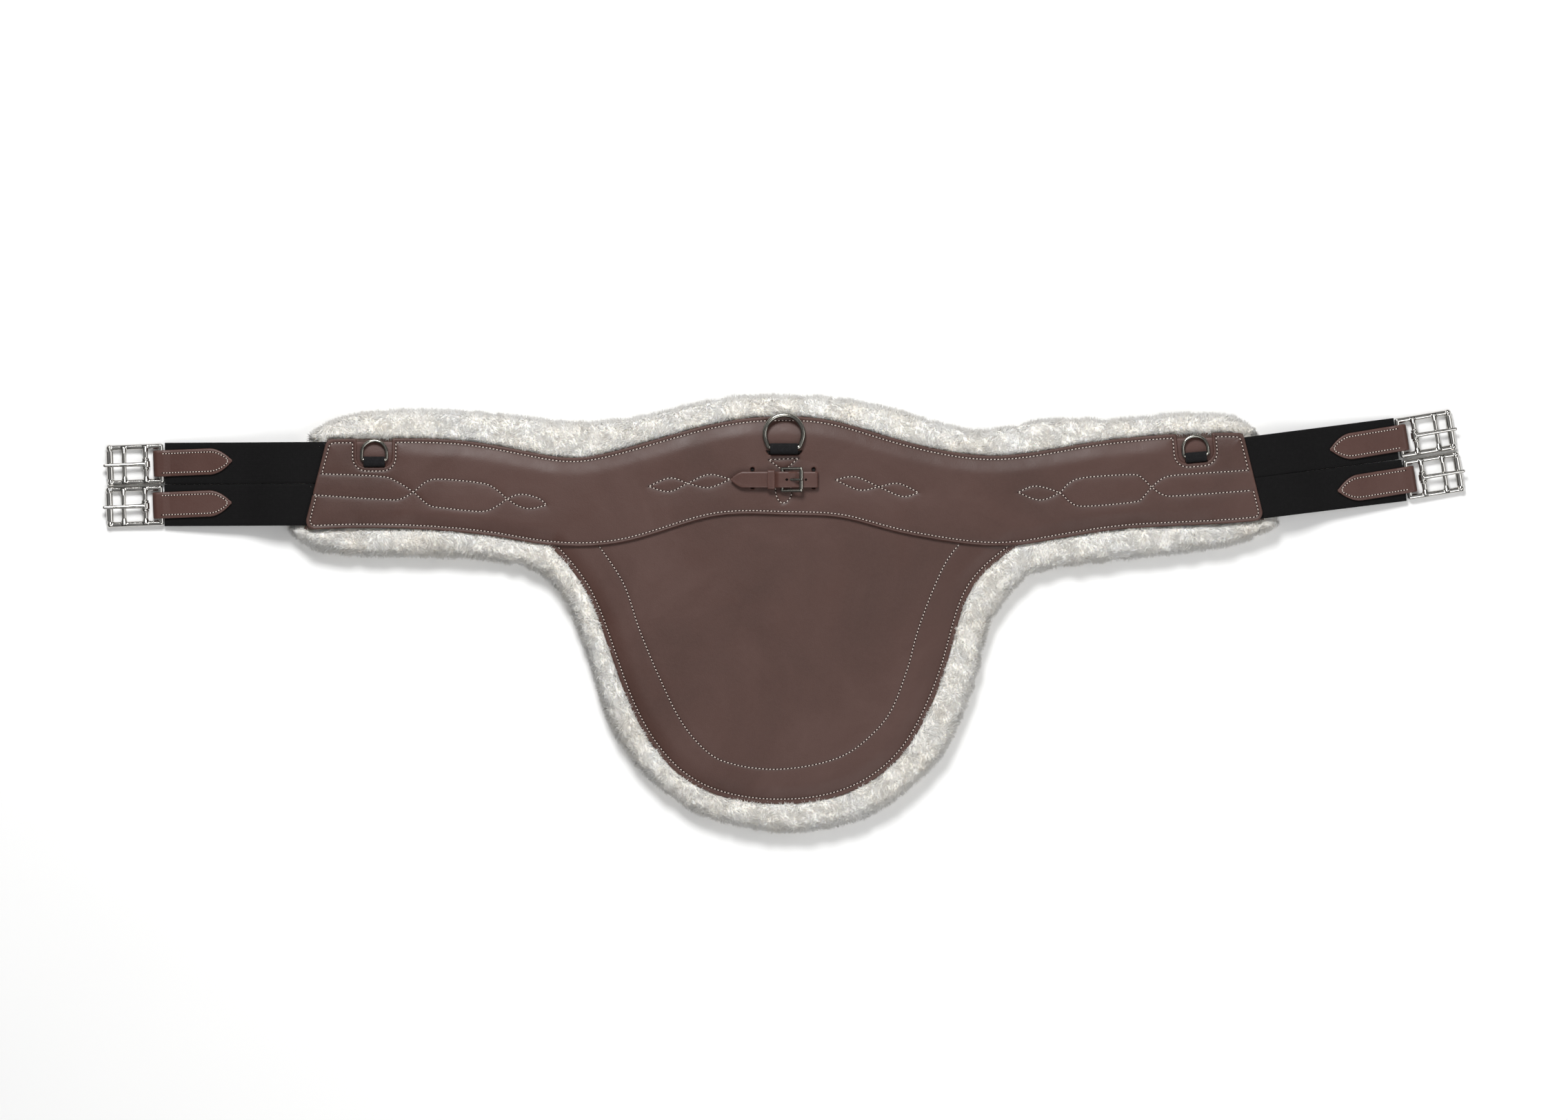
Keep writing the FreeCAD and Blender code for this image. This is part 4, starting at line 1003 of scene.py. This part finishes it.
def build_elastic(end):
    back = STRAP_FRAMES[end].inverted()
    bar = back @ Vector(JOINTS[f"{end}_buckle_swing"]["pos_m"])
    slope = back.to_3x3() @ Vector(JOINTS[f"{end}_elastic_stretch"]["axis"])
    trough = bar - slope * ELASTIC_STRAIGHT
    finish = bar - slope * ELASTIC_SHORT
    corners = [(-ANCHOR_BACK, 0, 0), (trough.x * 0.4, 0, ELASTIC_BEND), (trough.x, trough.z, ELASTIC_BEND),
               (finish.x, finish.z, 0)]
    path = bent_path(corners, 1.5 * MM)
    split = int(np.searchsorted(path[:, 0], SPLIT))
    place = STRAP_FRAMES[end]

    def selvedge(travelled, v, top):
        cord = 0.05 * MM * math.cos(v / (2.1 * MM) * 2 * math.pi)
        return (0.10 * MM * hill(ELASTIC_HALF - abs(v), 1.6, 1.0) + cord) * (1 if top else -1)

    parts = []
    for name, run in (("root", path[:split + 1]), ("span", path[split:])):
        made = strip(f"{end}_elastic_{name}", run, place, ELASTIC_HALF, ELASTIC_THICK, ELASTIC, relief=selvedge)
        soften_ends(made)
        parts.append(made)
    root, span = parts
    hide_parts(f"{end}_elastic_anchor")
    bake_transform(root)
    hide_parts(f"{end}_elastic")
    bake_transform(span)


def soften_ends(piece, angle=0.9):
    """Marks the sharp edges of a piece, so that its caps don't smear its shading."""
    bm = bmesh.new()
    bm.from_mesh(piece.data)
    for edge in bm.edges:
        if len(edge.link_faces) == 2 and edge.calc_face_angle(0) > angle:
            edge.smooth = False
    bm.to_mesh(piece.data)
    bm.free()


def arch(gap, half, point, power=1.9, apex=3.0 * MM):
    """Half width of a strap at a gap from its pointed end, whose apex is rounded."""
    side = half * (1 - (1 - min((gap + 0.8 * MM) / (point + 0.8 * MM), 1.0)) ** power)
    return side if gap > apex else min(side, math.sqrt(max(gap, 0.0) * (2 * apex - gap)))


def chape_frame(end):
    slide = Vector(JOINTS[f"{end}_elastic_stretch"]["axis"])
    swing = JOINTS[f"{end}_buckle_swing"]
    return axes_at(swing["pos_m"], slide, -Vector(swing["axis"]))


def build_chape(end):
    leaf = (ELASTIC_THICK + CHAPE_THICK) / 2 + 0.25 * MM
    loop = REAR_BAR + 0.25 * MM + CHAPE_THICK / 2
    nose = CHAPE_REACH - CHAPE_THICK / 2
    ease = 4 * MM
    corners = [
        (-CHAPE_LONG, -leaf, 0), (-9 * MM, -leaf, ease), (-3 * MM, -loop, ease), (nose, -loop, loop * 0.99),
        (nose, loop, loop * 0.99), (-3 * MM, loop, ease), (-9 * MM, leaf, ease), (-CHAPE_LONG, leaf, 0),
    ]
    path = bent_path(corners, 0.5 * MM)
    total = float(travel(path)[-1])
    place = chape_frame(end)
    inset = 3.3 * MM

    def half(travelled):
        return arch(min(travelled, total - travelled), CHAPE_HALF, CHAPE_POINT)

    def relief(travelled, v, top):
        if not top:
            return 0.0
        gap = half(travelled) - abs(v)
        return -0.22 * MM * hill(gap, inset / MM, 1.1) if travelled > total / 2 + 12 * MM else 0.0

    made = strip(f"{end}_chape_leather", path, place, half, CHAPE_THICK, BROWN_STRAP, 0.15 * MM, relief=relief)
    body = f"{end}_chape_end"
    dress(made, body, f"{end}_chape")

    side = []
    for gap in np.linspace(-1.0 * MM, -CHAPE_LONG + 2.2 * MM, 60):
        wide = half(total - (gap + CHAPE_LONG)) - inset
        if wide > 0.3 * MM:
            side.append((gap, wide))
    outline = side + [(-CHAPE_LONG + inset * 1.35, 0.0)] + [(x, -y) for x, y in reversed(side)]
    world = np.array([tuple((place @ Vector((x, y, 0)))[:2]) for x, y in outline])
    for face, normal_side in (("top", 1.0), ("under", -1.0)):
        sew(f"{end}_chape_{face}", body, made, [(world, False)], 2.7 * MM, 6, normal_side)


# ---- metal
def cast(node, name, voxel, material, body, rounds=3):
    """A metal piece as it is cast: the CAD shape with its joins melted into each other."""
    made = add_object(name, NODES[node].data.copy())
    made.data.materials.clear()
    remesh = made.modifiers.new("melt", "REMESH")
    remesh.mode = "VOXEL"
    remesh.voxel_size = voxel
    swell = made.modifiers.new("swell", "DISPLACE")
    swell.mid_level = 0.0
    swell.strength = voxel * 0.6
    ease = made.modifiers.new("ease", "SMOOTH")
    ease.factor = 0.5
    ease.iterations = rounds
    graph = bpy.context.evaluated_depsgraph_get()
    mesh = bpy.data.meshes.new_from_object(made.evaluated_get(graph))
    made.modifiers.clear()
    made.data = mesh
    paint(mesh, material)
    dress(made, body, node)


def paint(mesh, material):
    mesh.shade_smooth()
    mesh.materials.clear()
    mesh.materials.append(material)


def build_metal():
    for end in ENDS:
        cast(f"{end}_buckle_frame", f"{end}_frame", 0.42 * MM, NICKEL, f"{end}_buckle")
        cast(f"{end}_buckle_tongue", f"{end}_tongue_metal", 0.3 * MM, NICKEL, f"{end}_tongue")
        paint(NODES[f"{end}_buckle_roller"].data, NICKEL)
    cast("clip_buckle_frame", "clip_frame", 0.22 * MM, ANTIQUE, "clip_buckle")
    cast("clip_buckle_tongue", "clip_tongue_metal", 0.18 * MM, ANTIQUE, "clip_tongue", 2)
    for node in ("clip_buckle_roller", "centre_d_ring", "left_d_ring", "right_d_ring"):
        paint(NODES[node].data, ANTIQUE)


# ---- webbing loops, clip strap and keeper
def webbing_loop(ring, thick, half, corners):
    place = joint_frame(f"{ring}_ring_swing")
    made = strip(f"{ring}_webbing", bent_path(corners, 0.7 * MM), place, half, thick, WEBBING)
    soften_ends(made)
    dress(made, node=f"{ring}_ring_webbing")


def build_webbing():
    thick, play = 1.3 * MM, 0.25 * MM
    bar_z = JOINTS["centre_ring_swing"]["pos_m"][2]
    loop = 2.25 * MM + play + thick / 2
    tail = FACE_LOW - 0.05 * MM - thick / 2 - bar_z
    rear = -5.7 * MM
    front = rear + thick + 0.05 * MM
    low = tail - thick - 0.05 * MM
    webbing_loop("centre", thick, 13.0 * MM, [
        (-20 * MM, low, 0), (front, low, 1.0 * MM), (front, -loop, 0.7 * MM),
        (loop, -loop, loop * 0.99), (loop, loop, loop * 0.99), (rear, loop, 2.6 * MM), (rear, tail, 0.7 * MM),
        (-46 * MM, tail, 0),
    ])
    thick = 1.2 * MM
    loop = 1.6 * MM + play + thick / 2
    patch_low = levels("left_end_patch")[0]
    for ring in ("left", "right"):
        bar_z = JOINTS[f"{ring}_ring_swing"]["pos_m"][2]
        under = patch_low - 0.05 * MM - thick / 2 - bar_z
        front = -4.5 * MM
        rear = front - thick - 0.05 * MM
        webbing_loop(ring, thick, 9.8 * MM, [
            (front, patch_low - bar_z, 0), (front, -loop, 0.8 * MM), (loop, -loop, loop * 0.99),
            (loop, loop, loop * 0.99), (rear, loop, 2.4 * MM), (rear, under, 0.7 * MM), (-24 * MM, under, 0),
        ])


CLIP_THICK = 1.8 * MM
CLIP_HALF = 7.5 * MM
CLIP_SLOTS = (-29.4 * MM, 27.5 * MM)
CLIP_TIP = -49.5 * MM


def build_clip_strap():
    heel = Vector(JOINTS["clip_buckle_lift"]["pos_m"])
    loop = 1.4 * MM + 0.2 * MM + CLIP_THICK / 2
    under = FACE_LOW - 1.6 * MM - CLIP_THICK / 2
    upper, tail, run = FACE_TOP + 3.1 * MM, FACE_TOP + 5.2 * MM, FACE_TOP + 5.1 * MM
    crest = heel.z + loop + CLIP_THICK + 0.3 * MM
    left, right = CLIP_SLOTS
    fold = right + 3.6 * MM
    on_face = FACE_TOP + 1.2 * MM
    turn = loop * 0.99
    corners = [
        (heel.x - 4.5 * MM, heel.z - loop, 0), (heel.x + loop, heel.z - loop, turn),
        (heel.x + loop, heel.z + loop, turn), (heel.x - 2.6 * MM, heel.z + loop, 1.5 * MM),
        (heel.x - 6.1 * MM, upper, 2 * MM), (left, upper, 2.2 * MM), (left, under, 1.2 * MM),
        (right, under, 1.2 * MM), (right, on_face, 1.2 * MM), (fold, on_face, 1.2 * MM),
        (fold, run, 2.2 * MM), (12 * MM, run, 6 * MM), (4.5 * MM, crest, 6 * MM),
        (-4.9 * MM, crest, 4 * MM), (-8.9 * MM, tail, 3 * MM), (-33 * MM, tail, 20 * MM),
        (CLIP_TIP, tail - 1.6 * MM, 0),
    ]
    path = bent_path(corners, 0.5 * MM)
    total = float(travel(path)[-1])
    place = Matrix.Translation((0, heel.y, 0))

    def half(travelled):
        return arch(total - travelled, CLIP_HALF, 11.6 * MM, 1.7, 1.6 * MM)

    def crease(travelled, v, top):
        return 0.0 if top else -0.1 * MM * hill(half(travelled) - abs(v), 1.7, 0.6)

    made = strip("clip_strap_leather", path, place, half, CLIP_THICK, BROWN_STRAP, crown=0.12 * MM, relief=crease)
    dress(made, node="clip_strap")

    # near-black discs on the strap's two holes: painted shade inside them
    spots = [(20.4 * MM, run + CLIP_THICK / 2 + 0.05 * MM), (2.6 * MM, crest + CLIP_THICK / 2 + 0.05 * MM)]
    frames = [(np.array((x, heel.y, z)), np.identity(3)) for x, z in spots]
    dots = scatter("clip_strap_hole_shades", bead_template([(-0.6, 0.8), (0.0, 1.0), (0.6, 0.8)], 12), frames,
                   [(1.15 * MM, 1.15 * MM, 0.15 * MM), (1.5 * MM, 1.2 * MM, 0.15 * MM)], HOLE_SHADE)
    dress(dots)


def build_keeper():
    low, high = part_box("clip_keeper")
    wall = 1.3 * MM
    half_y = (high.y - low.y - wall) / 2
    bottom, top = low.z + wall / 2, high.z - wall / 2
    bend = 1.5 * MM
    corners = [(0, bottom, 0), (-half_y, bottom, bend), (-half_y, top, bend), (half_y, top, bend),
               (half_y, bottom, bend), (0, bottom, 0)]
    path = bent_path(corners, 0.6 * MM)[:-1]
    middle = (low + high) / 2
    place = Matrix(((0, 1, 0, middle.x), (1, 0, 0, middle.y), (0, 0, 1, 0), (0, 0, 0, 1)))
    made = strip("keeper_leather", path, place, (high.x - low.x) / 2, wall, BROWN_STRAP, 0.12 * MM, closed=True)
    dress(made, "keeper", "clip_keeper")


# ---- floor, light and camera
def area_light(name, place, size, power):
    data = bpy.data.lights.new(name, "AREA")
    data.shape = "DISK"
    data.size = size
    data.energy = power
    made = add_object(name, data)
    made.location = place
    made.rotation_euler = (-Vector(place)).to_track_quat("-Z", "Y").to_euler()


def build_stage():
    reach = 6.0
    floor = mesh_object("floor", [(-reach, -reach, 0), (reach, -reach, 0), (reach, reach, 0), (-reach, reach, 0)],
                        [(0, 1, 2, 3)], FLOOR, smooth=False)
    area_light("key", (-0.4, 1.9, 2.4), 1.1, 82)
    area_light("fill", (0.6, -1.5, 2.6), 2.4, 35)
    area_light("side", (2.3, 0.2, 2.0), 1.6, 13)
    world = bpy.data.worlds.new("studio")
    world.use_nodes = True
    tree = world.node_tree
    sky = tree.nodes["Background"]
    sky.inputs["Strength"].default_value = 0.5
    split = tree.nodes.new("ShaderNodeSeparateXYZ")
    tree.links.new(tree.nodes.new("ShaderNodeTexCoord").outputs["Generated"], split.inputs[0])
    ramp = tree.nodes.new("ShaderNodeValToRGB")
    bands = ((0.0, 0.6), (0.2, 0.55), (0.34, 0.03), (0.64, 0.05), (0.76, 0.85), (0.9, 0.65), (1.0, 0.35))
    while len(ramp.color_ramp.elements) < len(bands):
        ramp.color_ramp.elements.new(0.5)
    for element, (place, level) in zip(ramp.color_ramp.elements, bands):
        element.position = place
        element.color = (level, level, level, 1)
    tree.links.new(split.outputs["Z"], ramp.inputs["Fac"])
    tree.links.new(ramp.outputs["Color"], sky.inputs["Color"])
    bpy.context.scene.world = world
    bpy.context.scene.view_settings.view_transform = "Standard"


def build_camera():
    """Straight above, with the girth where the frame shows it; a long lens, so its height hardly spreads."""
    lens, sensor, width = 200.0, 36.0, 1.461
    data = bpy.data.cameras.new("camera")
    data.lens = lens
    data.sensor_width = sensor
    made = add_object("camera", data)
    made.location = (0.0, 0.0498, width * lens / sensor + 0.02)
    data.clip_end = 50
    bpy.context.scene.camera = made


# ---- the whole girth
build_camera()
build_stage()
build_leathers()
build_layers()
build_tapes()
build_fleece()
for end_name in ENDS:
    build_elastic(end_name)
    build_chape(end_name)
build_metal()
build_webbing()
build_clip_strap()
build_keeper()
